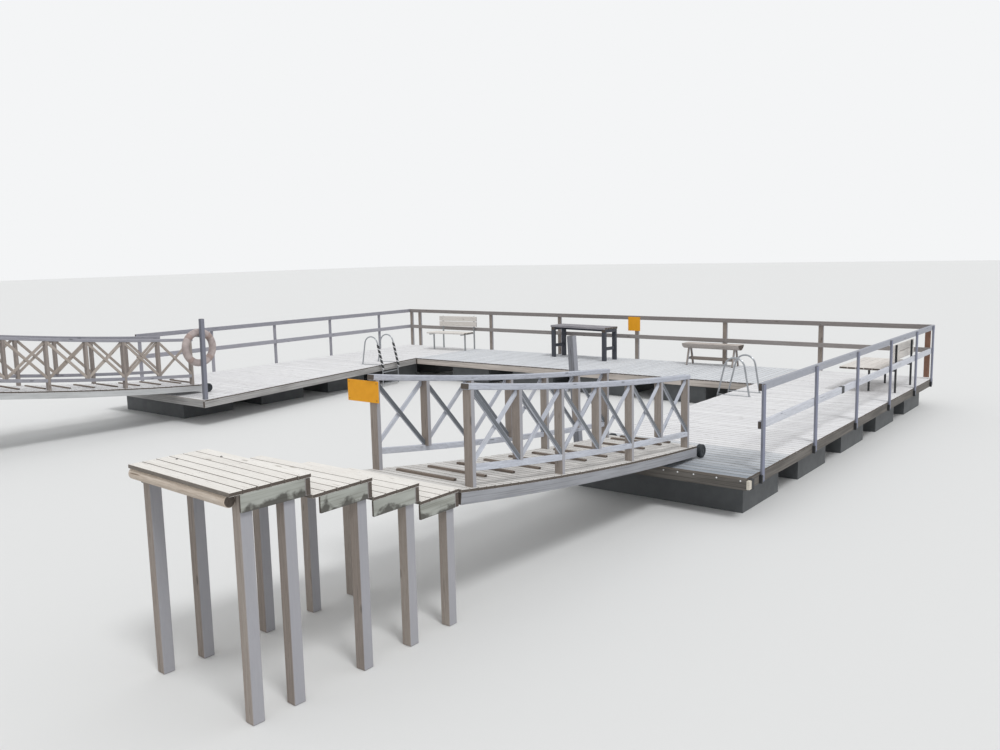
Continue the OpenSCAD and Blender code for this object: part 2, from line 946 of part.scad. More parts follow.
function platform_l(i) = i == 0 ? landing_l : i == step_n ? top_step_l : step_l;
function platform_y(i) = landing_y - (i == 0 ? 0 : landing_l + (i - 1) * step_l);
function platform_z(i) = deck_z + landing_h + i * step_rise;

module at_steps(x) {
    translate([x - step_off, 0, 0])
        children();
}

// The highest platform is turned a little about its left corner at the step below
module on_platform(i) {
    corner = [-step_w / 2, platform_y(i), 0];
    if (i == step_n)
        translate(corner)
            rotate([0, 0, -top_turn])
                translate(-corner)
                    children();
    else
        children();
}

// The step below the highest one runs on under it
tuck = 75;
function tuck_l(i) = i == step_n - 1 ? tuck : 0;

module step_platforms() {
    color(pale_wood)
        for (i = [0:step_n])
            on_platform(i)
                block(
                    [-step_w / 2, step_w / 2],
                    [platform_y(i) - platform_l(i) - tuck_l(i), platform_y(i)],
                    [platform_z(i) - board_t, platform_z(i)]
                );
}

side_h = step_rise - board_t;
side_t = 22;
riser_t = 42;

module step_sides() {
    color(pale_paint)
        for (i = [0:step_n]) {
            y1 = platform_y(i);
            y0 = y1 - platform_l(i) + (i == step_n ? log_d : 0);
            z = [platform_z(i) - board_t - side_h, platform_z(i) - board_t];
            on_platform(i) {
                for (x = [-step_w / 2 + step_set, step_w / 2 - step_set - side_t])
                    block([x, x + side_t], [y0 + butt, y1 - step_set - riser_t - butt], z);
                block(
                    [-step_w / 2 + step_set, step_w / 2 - step_set],
                    [y1 - step_set - riser_t, y1 - step_set],
                    [z[0] + butt, z[1]]
                );
            }
        }
}

// Legs of a platform stand behind its riser, and two more near the shore edge of the highest one
function leg_in(i) = step_set + riser_t + leg_w + (i == step_n ? tuck : 0);

module step_legs() {
    side_x = step_w / 2 - step_set - side_t - leg_w;
    legs = concat(
        [for (i = [0:step_n]) [i, platform_y(i) - leg_in(i)]],
        [[step_n, platform_y(step_n) - top_step_l + log_d + 5]]
    );
    color(grey_wood)
        for (leg = legs)
            on_platform(leg[0])
                for (x = [-side_x - leg_w, side_x])
                    block([x, x + leg_w], [leg[1], leg[1] + leg_w], [0, platform_z(leg[0]) - board_t]);
}

module right_steps() {
    at_steps(right_gang_x) step_platforms();
}

module right_step_sides() {
    at_steps(right_gang_x) step_sides();
}

module right_step_legs() {
    at_steps(right_gang_x) step_legs();
}

module left_steps() {
    at_steps(left_gang_x) step_platforms();
}

module left_step_sides() {
    at_steps(left_gang_x) step_sides();
}

module left_step_legs() {
    at_steps(left_gang_x) step_legs();
}

module step_logs() {
    log_short = 60;
    color(brown_wood)
        for (x = [right_gang_x, left_gang_x])
            at_steps(x)
                on_platform(step_n)
                    translate([
                        -step_w / 2,
                        platform_y(step_n) - top_step_l + log_d / 2,
                        platform_z(step_n) - board_t - log_d / 2
                    ])
                        rotate([0, 90, 0])
                            cylinder(d = log_d, h = step_w - log_short, $fn = 32);
}

right_deck();
back_deck();
left_deck();
right_frame();
back_frame();
left_frame();
right_floats();
back_floats();
left_floats();
right_rail_posts();
back_rail_posts();
left_rail_posts();
right_rails();
back_rails();
left_rails();
post_shoes();
right_ladder();
left_ladder();
life_ring_post();
life_ring();
back_plate();
plain_post();
table();
log_bench();
back_bench();
side_bench();
right_gangway_deck();
right_gangway_beams();
right_gangway_uprights();
right_gangway_handrails();
right_gangway_lower_rails();
right_gangway_braces();
right_wheel_brackets();
right_gangway_wheels();
right_hinge_lugs();
gangway_plate();
left_gangway_deck();
left_gangway_beams();
left_gangway_uprights();
left_gangway_handrails();
left_gangway_lower_rails();
left_gangway_braces();
left_wheel_brackets();
left_gangway_wheels();
left_hinge_lugs();
right_steps();
right_step_sides();
right_step_legs();
left_steps();
left_step_sides();
left_step_legs();
step_logs();
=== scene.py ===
"""A floating wooden swimming jetty with two hinged gangways and stepped landings, built plank by plank.

Every timber is a mesh of its own sawn section. It carries three point attributes that the wood
materials read: grain, a place counted along, across and through the plank, tone, one number for
each plank, and wear, the height above the foot of its piece.
"""

import json
import math
import random

import bmesh
import bpy
from mathutils import Matrix, Vector


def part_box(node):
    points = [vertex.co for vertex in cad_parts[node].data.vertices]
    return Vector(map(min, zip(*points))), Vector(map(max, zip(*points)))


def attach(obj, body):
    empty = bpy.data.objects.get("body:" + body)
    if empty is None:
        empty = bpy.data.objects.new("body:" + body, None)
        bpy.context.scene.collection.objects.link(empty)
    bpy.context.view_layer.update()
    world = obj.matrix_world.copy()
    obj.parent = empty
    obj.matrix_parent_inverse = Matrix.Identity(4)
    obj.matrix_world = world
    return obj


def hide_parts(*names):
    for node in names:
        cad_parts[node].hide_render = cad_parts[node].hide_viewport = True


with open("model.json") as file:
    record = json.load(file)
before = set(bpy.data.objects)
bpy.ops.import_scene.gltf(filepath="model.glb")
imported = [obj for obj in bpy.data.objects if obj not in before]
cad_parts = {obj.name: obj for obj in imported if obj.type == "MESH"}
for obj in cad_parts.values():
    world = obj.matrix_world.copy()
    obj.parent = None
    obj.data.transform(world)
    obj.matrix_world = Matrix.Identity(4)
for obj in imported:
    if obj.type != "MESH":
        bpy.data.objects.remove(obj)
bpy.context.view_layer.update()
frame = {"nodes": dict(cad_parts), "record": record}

BODY_OF = {
    node: body
    for body, nodes in frame["record"]["behaviour"]["bodies"].items()
    for node in nodes
}
SLOT_OF = {part["node"]: part["material_slot"] for part in frame["record"]["subparts"]}
X, Y, Z = Vector((1, 0, 0)), Vector((0, 1, 0)), Vector((0, 0, 1))
MM = 0.001

# Sections of the timbers: deck boards and the gap between them, edge beams, and the arris of all
BOARD_T = 28 * MM
BOARD_W = 107 * MM
BOARD_GAP = 5 * MM
BEAM_T = 48 * MM
ARRIS = 3 * MM

# Joists between the two edge beams of a frame
JOISTS = 3

# The highest platform of each flight of steps is turned a little
TOP_TURN = Matrix.Rotation(math.radians(-3.1), 4, "Z")


# Camera: the photograph's viewpoint, in metres from the right arm's near outer deck corner, its turn to
# the left, its tilt and its roll in radians, and the focal length in pixels of the photograph

IMAGE_W = 1000
FOCAL_PX = 884.73
SENSOR_MM = 36
SEES_TO = 400
VIEW_FROM = Vector((3.707, -9.120, 2.523))
VIEW_LEFT = 0.6622
VIEW_DOWN = 0.1381
VIEW_ROLL = -0.0221


def make_camera():
    deck_low, deck_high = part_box("right_deck")
    corner = Vector((deck_high[0], deck_low[1], deck_high[2]))
    level = Vector((-math.sin(VIEW_LEFT), math.cos(VIEW_LEFT), 0))
    side = Vector((math.cos(VIEW_LEFT), math.sin(VIEW_LEFT), 0))
    ahead = level * math.cos(VIEW_DOWN) - Z * math.sin(VIEW_DOWN)
    rise = Z * math.cos(VIEW_DOWN) + level * math.sin(VIEW_DOWN)
    right = side * math.cos(VIEW_ROLL) + rise * math.sin(VIEW_ROLL)
    up = rise * math.cos(VIEW_ROLL) - side * math.sin(VIEW_ROLL)
    data = bpy.data.cameras.new("view")
    data.sensor_width = SENSOR_MM
    data.lens = FOCAL_PX / IMAGE_W * SENSOR_MM
    data.clip_end = SEES_TO
    camera = bpy.data.objects.new("view", data)
    turn = Matrix((right, up, -ahead)).transposed().to_4x4()
    camera.matrix_world = Matrix.Translation(corner + VIEW_FROM) @ turn
    bpy.context.scene.collection.objects.link(camera)
    bpy.context.scene.camera = camera


make_camera()


# Material nodes

def tint(code):
    """An sRGB hex colour as linear RGBA."""
    parts = [int(code[i:i + 2], 16) / 255 for i in (1, 3, 5)]
    linear = [c / 12.92 if c <= 0.04045 else ((c + 0.055) / 1.055) ** 2.4 for c in parts]
    return (*linear, 1)


def add(tree, kind, inputs=None, **settings):
    """Adds a node, sets its settings, and sets or links its inputs."""
    node = tree.nodes.new(kind)
    for name, value in settings.items():
        setattr(node, name, value)
    for name, value in (inputs or {}).items():
        if isinstance(value, bpy.types.NodeSocket):
            tree.links.new(value, node.inputs[name])
        else:
            node.inputs[name].default_value = value
    return node


def new_material(name):
    """An empty material with a Principled shader, and its tree."""
    material = bpy.data.materials.new(name)
    material.use_nodes = True
    tree = material.node_tree
    return material, tree, tree.nodes["Principled BSDF"]


def weathered_wood(name, pale, body, dark, stain, rough=0.86, stain_amount=0.35, tone_amount=0.5,
                   knot=0.6, relief=0.5, sun_face_light=None):
    """Sawn pine left bare outdoors: lignin washed out to silver grey, with raised latewood lines,
    drying cracks along the grain, knots and a water stain. Each pattern is stretched by its repeats in
    a metre along, across and through the grain. The lines are 7 mm apart, drawn that coarse so that
    they show. tone_amount is how far planks differ. Where a sun side colour is given, the faces towards +X,
    on which the sun falls, are mixed towards it: light painted onto that side."""
    material, tree, shader = new_material(name)
    grain = add(tree, "ShaderNodeAttribute", attribute_name="grain").outputs["Vector"]
    tone = add(tree, "ShaderNodeAttribute", attribute_name="tone").outputs["Fac"]
    wander = add(tree, "ShaderNodeTexNoise", {"Vector": grain, "Scale": 1.6, "Detail": 1.0})
    bent = add(tree, "ShaderNodeVectorMath", {0: wander.outputs["Color"], 1: (0.0, 0.05, 0.05)},
               operation="MULTIPLY").outputs[0]
    along = add(tree, "ShaderNodeVectorMath", {0: grain, 1: bent}, operation="ADD").outputs[0]
    lines_at = add(tree, "ShaderNodeVectorMath", {0: along, 1: (2.2, 1 / (7 * MM), 60.0)},
                   operation="MULTIPLY").outputs[0]
    lines = add(tree, "ShaderNodeTexNoise", {"Vector": lines_at, "Scale": 1.0, "Detail": 3.0,
                                             "Roughness": 0.6}).outputs["Fac"]
    fibres_at = add(tree, "ShaderNodeVectorMath", {0: along, 1: (14.0, 1 / (1.6 * MM), 400.0)},
                    operation="MULTIPLY").outputs[0]
    fibres = add(tree, "ShaderNodeTexNoise", {"Vector": fibres_at, "Scale": 1.0,
                                              "Detail": 2.0}).outputs["Fac"]
    patches_at = add(tree, "ShaderNodeVectorMath", {0: grain, 1: (1.7, 9.0, 9.0)},
                     operation="MULTIPLY").outputs[0]
    patches = add(tree, "ShaderNodeTexNoise", {"Vector": patches_at, "Scale": 1.0, "Detail": 4.0,
                                               "Roughness": 0.62}).outputs["Fac"]
    cracks_at = add(tree, "ShaderNodeVectorMath", {0: along, 1: (3.0, 1 / (13 * MM), 30.0)},
                    operation="MULTIPLY").outputs[0]
    cracks = add(tree, "ShaderNodeTexNoise", {"Vector": cracks_at, "Scale": 1.0,
                                              "Detail": 1.0}).outputs["Fac"]
    crack = add(tree, "ShaderNodeMapRange", {"Value": cracks, "From Min": 0.30, "From Max": 0.24}).outputs[0]
    knots_at = add(tree, "ShaderNodeVectorMath", {0: grain, 1: (2.6, 8.5, 8.5)},
                   operation="MULTIPLY").outputs[0]
    knots = add(tree, "ShaderNodeTexVoronoi", {"Vector": knots_at, "Scale": 1.0}).outputs["Distance"]
    knot_spot = add(tree, "ShaderNodeMapRange", {"Value": knots, "From Min": 0.13,
                                                 "From Max": 0.07}).outputs[0]

    toned = add(tree, "ShaderNodeMath", {0: tone, 1: tone_amount}, operation="MULTIPLY").outputs[0]
    spread = add(tree, "ShaderNodeMapRange", {"Value": lines, "From Min": 0.3, "From Max": 0.72,
                                              "To Max": 1.0 - tone_amount * 0.5}).outputs[0]
    level = add(tree, "ShaderNodeMath", {0: spread, 1: toned}, operation="ADD", use_clamp=True).outputs[0]
    ramp = add(tree, "ShaderNodeMix", {"Factor": level, 6: tint(pale), 7: tint(body)}, data_type="RGBA")
    stained = add(tree, "ShaderNodeMapRange", {"Value": patches, "From Min": 0.5, "From Max": 0.74,
                                               "To Max": stain_amount}).outputs[0]
    mixed = add(tree, "ShaderNodeMix", {"Factor": stained, 6: ramp.outputs[2], 7: tint(stain)},
                data_type="RGBA")
    thread = add(tree, "ShaderNodeMapRange", {"Value": fibres, "From Min": 0.42, "From Max": 0.75,
                                              "To Max": 0.35}).outputs[0]
    fine = add(tree, "ShaderNodeMix", {"Factor": thread, 6: mixed.outputs[2], 7: tint(dark)},
               data_type="RGBA")
    marks = add(tree, "ShaderNodeMath", {0: knot_spot, 1: knot}, operation="MULTIPLY").outputs[0]
    cracked = add(tree, "ShaderNodeMath", {0: crack, 1: 0.7}, operation="MULTIPLY").outputs[0]
    deep = add(tree, "ShaderNodeMath", {0: marks, 1: cracked}, operation="MAXIMUM").outputs[0]
    final = add(tree, "ShaderNodeMix", {"Factor": deep, 6: fine.outputs[2], 7: tint(dark)}, data_type="RGBA")
    # Painted light: the faces towards +X, the sun side, are mixed towards the sun side colour
    if sun_face_light:
        facing = add(tree, "ShaderNodeNewGeometry").outputs["Normal"]
        sideways = add(tree, "ShaderNodeSeparateXYZ", {0: facing}).outputs[0]
        sun_face_mix = add(tree, "ShaderNodeMapRange", {"Value": sideways, "From Min": 0.4, "From Max": 0.9,
                                                    "To Max": 0.8}).outputs[0]
        final = add(tree, "ShaderNodeMix", {"Factor": sun_face_mix, 6: final.outputs[2], 7: tint(sun_face_light)},
                    data_type="RGBA")
    tree.links.new(final.outputs[2], shader.inputs["Base Color"])
    shader.inputs["Roughness"].default_value = rough
    shader.inputs["IOR"].default_value = 1.5
    height = add(tree, "ShaderNodeMath", {0: lines, 1: crack}, operation="SUBTRACT").outputs[0]
    bump = add(tree, "ShaderNodeBump", {"Height": height, "Strength": relief, "Distance": 1.2 * MM})
    tree.links.new(bump.outputs[0], shader.inputs["Normal"])
    return material


def sawn_end(name, pale, dark):
    """The sawn end of a plank: end grain drinks water and goes dark, with rings and short checks."""
    material, tree, shader = new_material(name)
    grain = add(tree, "ShaderNodeAttribute", attribute_name="grain").outputs["Vector"]
    flat = add(tree, "ShaderNodeVectorMath", {0: grain, 1: (0.0, 1.0, 1.0)}, operation="MULTIPLY").outputs[0]
    rings = add(tree, "ShaderNodeTexWave", {"Vector": flat, "Scale": 36.0, "Distortion": 3.0, "Detail": 2.0},
                wave_type="RINGS", rings_direction="X").outputs["Fac"]
    blots = add(tree, "ShaderNodeTexNoise", {"Vector": grain, "Scale": 60.0, "Detail": 3.0}).outputs["Fac"]
    level = add(tree, "ShaderNodeMath", {0: rings, 1: blots}, operation="MULTIPLY").outputs[0]
    mixed = add(tree, "ShaderNodeMix", {"Factor": level, 6: tint(dark), 7: tint(pale)}, data_type="RGBA")
    tree.links.new(mixed.outputs[2], shader.inputs["Base Color"])
    shader.inputs["Roughness"].default_value = 0.92
    bump = add(tree, "ShaderNodeBump", {"Height": level, "Strength": 0.4, "Distance": 1.5 * MM})
    tree.links.new(bump.outputs[0], shader.inputs["Normal"])
    return material


# Black algae that creep up painted panels from below
ALGAE_BLACK = "#3d3a35"


def worn_paint(name, paint, wood, grime, bare_from=0.6, soil=0.3, low_stain=0.0):
    """Thin old paint on planks: nearly plain, worn to grey wood in thin streaks along the grain,
    soiled in soft clouds, and, where low_stain is given, blackened in patches that rise from below."""
    material, tree, shader = new_material(name)
    grain = add(tree, "ShaderNodeAttribute", attribute_name="grain").outputs["Vector"]
    streaks_at = add(tree, "ShaderNodeVectorMath", {0: grain, 1: (1.1, 75.0, 75.0)},
                     operation="MULTIPLY").outputs[0]
    streaks = add(tree, "ShaderNodeTexNoise", {"Vector": streaks_at, "Scale": 1.0, "Detail": 4.0,
                                               "Roughness": 0.6}).outputs["Fac"]
    bare = add(tree, "ShaderNodeMapRange", {"Value": streaks, "From Min": bare_from,
                                            "From Max": bare_from + 0.14, "To Max": 0.75}).outputs[0]
    clouds_at = add(tree, "ShaderNodeVectorMath", {0: grain, 1: (1.0, 5.0, 5.0)},
                    operation="MULTIPLY").outputs[0]
    clouds = add(tree, "ShaderNodeTexNoise", {"Vector": clouds_at, "Scale": 1.6,
                                              "Detail": 3.0}).outputs["Fac"]
    dirty = add(tree, "ShaderNodeMapRange", {"Value": clouds, "From Min": 0.4, "From Max": 0.75,
                                             "To Max": soil}).outputs[0]
    skin = add(tree, "ShaderNodeMix", {"Factor": bare, 6: tint(paint), 7: tint(wood)}, data_type="RGBA")
    soiled = add(tree, "ShaderNodeMix", {"Factor": dirty, 6: skin.outputs[2], 7: tint(grime)},
                 data_type="RGBA")
    last = soiled
    if low_stain:
        wear = add(tree, "ShaderNodeAttribute", attribute_name="wear").outputs["Fac"]
        blots = add(tree, "ShaderNodeTexNoise", {"Vector": grain, "Scale": 9.0,
                                                 "Detail": 4.0}).outputs["Fac"]
        foot = add(tree, "ShaderNodeMapRange", {"Value": wear, "From Min": 0.0, "From Max": 0.09,
                                                "To Min": 0.24, "To Max": -0.07}).outputs[0]
        reach = add(tree, "ShaderNodeMath", {0: blots, 1: foot}, operation="ADD").outputs[0]
        black = add(tree, "ShaderNodeMapRange", {"Value": reach, "From Min": 0.58, "From Max": 0.70,
                                                 "To Max": low_stain}).outputs[0]
        last = add(tree, "ShaderNodeMix", {"Factor": black, 6: soiled.outputs[2], 7: tint(ALGAE_BLACK)},
                   data_type="RGBA")
    tree.links.new(last.outputs[2], shader.inputs["Base Color"])
    shader.inputs["Roughness"].default_value = 0.74
    bump = add(tree, "ShaderNodeBump", {"Height": streaks, "Strength": 0.35, "Distance": 0.8 * MM})
    tree.links.new(bump.outputs[0], shader.inputs["Normal"])
    return material


def solid_finish(name, base, second, rough, metallic=0.0, patch_mm=40, contrast=0.5, relief=0.15):
    """A smooth made surface, cast, rolled or moulded, with two close colours in soft patches."""
    material, tree, shader = new_material(name)
    place = add(tree, "ShaderNodeTexCoord").outputs["Object"]
    patches = add(tree, "ShaderNodeTexNoise", {"Vector": place, "Scale": 1 / (patch_mm * MM), "Detail": 5.0,
                                               "Roughness": 0.6}).outputs["Fac"]
    level = add(tree, "ShaderNodeMapRange", {"Value": patches, "From Min": 0.4, "From Max": 0.72,
                                             "To Max": contrast}).outputs[0]
    mixed = add(tree, "ShaderNodeMix", {"Factor": level, 6: tint(base), 7: tint(second)}, data_type="RGBA")
    tree.links.new(mixed.outputs[2], shader.inputs["Base Color"])
    shader.inputs["Metallic"].default_value = metallic
    dull = add(tree, "ShaderNodeMapRange", {"Value": patches, "To Min": rough - 0.06,
                                            "To Max": rough + 0.12})
    tree.links.new(dull.outputs[0], shader.inputs["Roughness"])
    bump = add(tree, "ShaderNodeBump", {"Height": patches, "Strength": relief, "Distance": 0.5 * MM})
    tree.links.new(bump.outputs[0], shader.inputs["Normal"])
    return material


# Pine decking, sawn and never treated: sun and water have bleached it nearly white, with grey lines
bleached_decking = weathered_wood("bleached_pine_decking", "#f2f3f4", "#dddde0", "#8b8886", "#c8c9cd",
                                  stain_amount=0.4, tone_amount=0.4)
# The back arm's boards have stayed a cooler grey
back_decking = weathered_wood("grey_pine_decking", "#e2e5e9", "#c8ccd1", "#84858a", "#b9bdc3",
                              stain_amount=0.4, tone_amount=0.4)
# Feet bring earth onto the gangway, so its boards are creamy and duller
gangway_decking = weathered_wood("grey_cream_pine_decking", "#e4e2df", "#cbc9c6", "#7f7c79", "#b9b6b3",
                                 stain_amount=0.4, tone_amount=0.4)
# Water laps over these boards, and the gangway's shade is painted on them: from pale to slate grey, as each
# plank is wet and shaded
damp_shaded_decking = weathered_wood("damp_shaded_pine_decking", "#e6e8eb", "#8b939c", "#555a60", "#9aa1a9",
                              stain_amount=0.4, tone_amount=0.75)
# Step boards: the warmest and palest wood, smooth underfoot
bleached_steps = weathered_wood("bleached_pine_steps", "#f3f1ed", "#e2dfda", "#8f877c", "#d0ccc6",
                                stain_amount=0.3, tone_amount=0.35)
# The narrow edges of boards hold dirt and dry last, so the gaps read as dark lines
board_edges = weathered_wood("dark_board_edges", "#8d8780", "#6c655e", "#474039", "#77706a")
soft_edges = weathered_wood("grey_board_edges", "#b9b6b3", "#9a9693", "#6d6966", "#a4a09d")

# Rails, planed pine: silver grey with a blue cast on the sunny side, brown grey at the back; the left arm's
# grey is a darker copy, painted shade
grey_rails = weathered_wood("silver_grey_pine_rails", "#d4d9e3", "#b0b4bf", "#5c5e64", "#b3b2b4",
                            stain_amount=0.45)
pale_rails = weathered_wood("pale_grey_pine_rails", "#e1e4ec", "#a2a5ae", "#606167", "#b1b0b3",
                            stain_amount=0.4, tone_amount=0.9)
# A darker copy of the rail grey, painted shade, for the left arm's rails and posts and the left gangway's
# rails
shaded_left_rail_wood = weathered_wood("shaded_grey_pine_rails", "#a9a9b1", "#8b8b94", "#57575d", "#928f8d",
                                stain_amount=0.25)
back_rail_wood = weathered_wood("brown_grey_pine_rails", "#a19c9a", "#837d7b", "#55504e", "#918883",
                                stain_amount=0.3)

# Posts and uprights, sawn pine: brown grey heartwood, with painted light in blue grey on the faces towards
# +X, the sun side
left_posts = weathered_wood("dull_brown_pine_posts", "#a39a94", "#857d79", "#514b48", "#958c87")
brown_posts = weathered_wood("brown_grey_pine_posts", "#aca39b", "#897f78", "#4f4843", "#9b9188",
                             sun_face_light="#a2a4ac")
red_post = weathered_wood("reddish_brown_pine_post", "#9a7664", "#7c5c4c", "#4b372d", "#8a7262")
pale_posts = weathered_wood("pale_grey_pine_posts", "#8c8f9b", "#6f7280", "#484a52", "#7d7b7e",
                            sun_face_light="#81859a")
blue_grey_post = weathered_wood("blue_grey_pine_post", "#7f818c", "#62646d", "#3f4046", "#74727a",
                                sun_face_light="#80828e")
plain_grey_post = weathered_wood("plain_grey_pine_post", "#96989f", "#777980", "#505157", "#85827f",
                                 sun_face_light="#a0a2aa")

# Laths and cleats, thin sawn pine: dark on the broad faces that turn away from the sun, a painted shade,
# light brown on the left
shaded_laths = weathered_wood("grey_pine_laths_painted_shade", "#7d8187", "#5f646a", "#3b3d40", "#6f7073",
                            stain_amount=0.2)
light_laths = weathered_wood("light_brown_pine_laths", "#b9b0a8", "#988e86", "#655d56", "#a29891",
                             stain_amount=0.2)
dark_boards = weathered_wood("dark_wet_pine", "#8d8177", "#6e635a", "#443b35", "#7a7068")

# Furniture: a table stained dark and worn pale on top, bleached slats, and two logs, barked and split
dark_table = weathered_wood("dark_stained_table", "#a9a6ab", "#474a52", "#27282c", "#74757b",
                            tone_amount=0.9)
seat_wood = weathered_wood("bleached_bench_slats", "#efece7", "#d3cec9", "#857f79", "#bcbcbe")
barked_log = weathered_wood("barked_pine_log", "#ddd3c7", "#bbac9d", "#6a5a4b", "#9c8f81")
split_log = weathered_wood("split_grey_log", "#d0c8c2", "#a89f99", "#564e4a", "#938c87")
end_grain = sawn_end("dark_end_grain", "#7d736b", "#453e39")

# Old alkyd paint, brushed on sawn beams: matt, streaked along the grain and soiled by the water
side_paint = worn_paint("worn_grey_side_paint", "#9b9da3", "#7c7d80", "#5f6063", bare_from=0.5, soil=0.45)
pale_paint = worn_paint("plain_pale_side_paint", "#c3c5c6", "#9c9d9e", "#7b7c7d", bare_from=0.55,
                        soil=0.4)
left_paint = worn_paint("worn_grey_fascia_paint", "#aeadac", "#838180", "#5f5c5a", bare_from=0.47,
                        soil=0.4)
back_paint = worn_paint("worn_pinkish_fascia_paint", "#cbc3bc", "#9f968f", "#6f6963", bare_from=0.47,
                        soil=0.4)
near_paint = worn_paint("streaked_grey_brown_fascia", "#716d68", "#524e4a", "#33302d", bare_from=0.43,
                        soil=0.5)
cream_paint = worn_paint("cream_beam_end", "#d8d2c6", "#b0a89b", "#8b8377", bare_from=0.55, soil=0.25)
panel_paint = worn_paint("stained_greenish_panel_paint", "#a9aca6", "#86877f", "#5c5b52", bare_from=0.52,
                         soil=0.6, low_stain=0.85)

# Metals: zinc dulled to a soft grey, drawn stainless tube that still mirrors, and black paint on steel
galvanised = solid_finish("dull_galvanised_steel", "#a4a7a9", "#83878a", 0.48, 0.85, patch_mm=12)
stainless = solid_finish("polished_stainless_tube", "#aaadb1", "#8e9296", 0.26, 1.0, patch_mm=30,
                         relief=0.03)
bright_zinc = solid_finish("bright_zinc_bolts", "#eeeff0", "#d2d3d5", 0.35, 0.1, patch_mm=8)
black_steel = solid_finish("black_painted_steel", "#26282b", "#3a3a3b", 0.5, 0.0, patch_mm=20)

# Rubber and plastics: dusty solid rubber, rotation moulded floats in dark grey as painted shade under the
# deck, a ring bleached by sun, enamelled plates, and glossier tape
old_rubber = solid_finish("old_black_rubber", "#22272c", "#3b4045", 0.62, 0.0, patch_mm=25)
shaded_float = solid_finish("polyethylene_float_painted_shade", "#585b5d", "#44474a", 0.55, 0.0, patch_mm=180)
faded_ring = solid_finish("faded_ring_shell", "#b4a8a5", "#8b7f7e", 0.7, 0.0, patch_mm=90, contrast=0.8)
ring_band = solid_finish("faded_ring_band", "#a3918b", "#8c7c77", 0.7, 0.0, patch_mm=40)
sign_enamel = solid_finish("yellow_sign_enamel", "#eba306", "#dd950b", 0.6, 0.0, patch_mm=60, relief=0.02)
black_tape = solid_finish("black_marking_tape", "#1d1e20", "#2a2b2d", 0.45, 0.0, patch_mm=30, relief=0.05)
white_tape = solid_finish("white_marking_tape", "#dcdde0", "#c5c6c9", 0.45, 0.0, patch_mm=30, relief=0.05)


# Building with planks

def corners(points):
    """The lowest and highest corner of some points."""
    return tuple(Vector([pick(co[i] for co in points) for i in range(3)]) for pick in (min, max))


def groups(node):
    """The points of each separate solid in a CAD node."""
    mesh = bmesh.new()
    mesh.from_mesh(frame["nodes"][node].data)
    bmesh.ops.remove_doubles(mesh, verts=mesh.verts, dist=0.01 * MM)
    seen, found = set(), []
    for first in mesh.verts:
        if first in seen:
            continue
        seen.add(first)
        group, waiting = [], [first]
        while waiting:
            vert = waiting.pop()
            group.append(vert.co.copy())
            for edge in vert.link_edges:
                other = edge.other_vert(vert)
                if other not in seen:
                    seen.add(other)
                    waiting.append(other)
        found.append(group)
    mesh.free()
    return found


def solids(node):
    """The lowest and highest corner of each separate solid in a CAD node."""
    return sorted((corners(group) for group in groups(node)), key=lambda b: tuple(b[0]))


def space(box):
    size = box[1] - box[0]
    return size.x * size.y * size.z


def turned_solids(node, turn):
    """Each solid's own direction, and its corners in it: straight, or turned where that fits closer."""
    found = []
    for group in groups(node):
        straight = corners(group)
        turned = corners([turn.inverted() @ co for co in group])
        closer = space(turned) < space(straight)
        found.append((turn, *turned) if closer else (Matrix(), *straight))
    return sorted(found, key=lambda b: tuple(b[1]))


# Material slots of a piece made of planks: its faces, its sawn ends and its narrow edges
FACE, END, EDGE = 0, 1, 2

# Sides of a plank's eight sided section that make its two narrow edges with their arrises
EDGE_SIDES = (0, 2, 3, 4, 6, 7)

# Each plank takes its grain from a place of its own within so many metres of the pattern
GRAIN_SPAN = 60


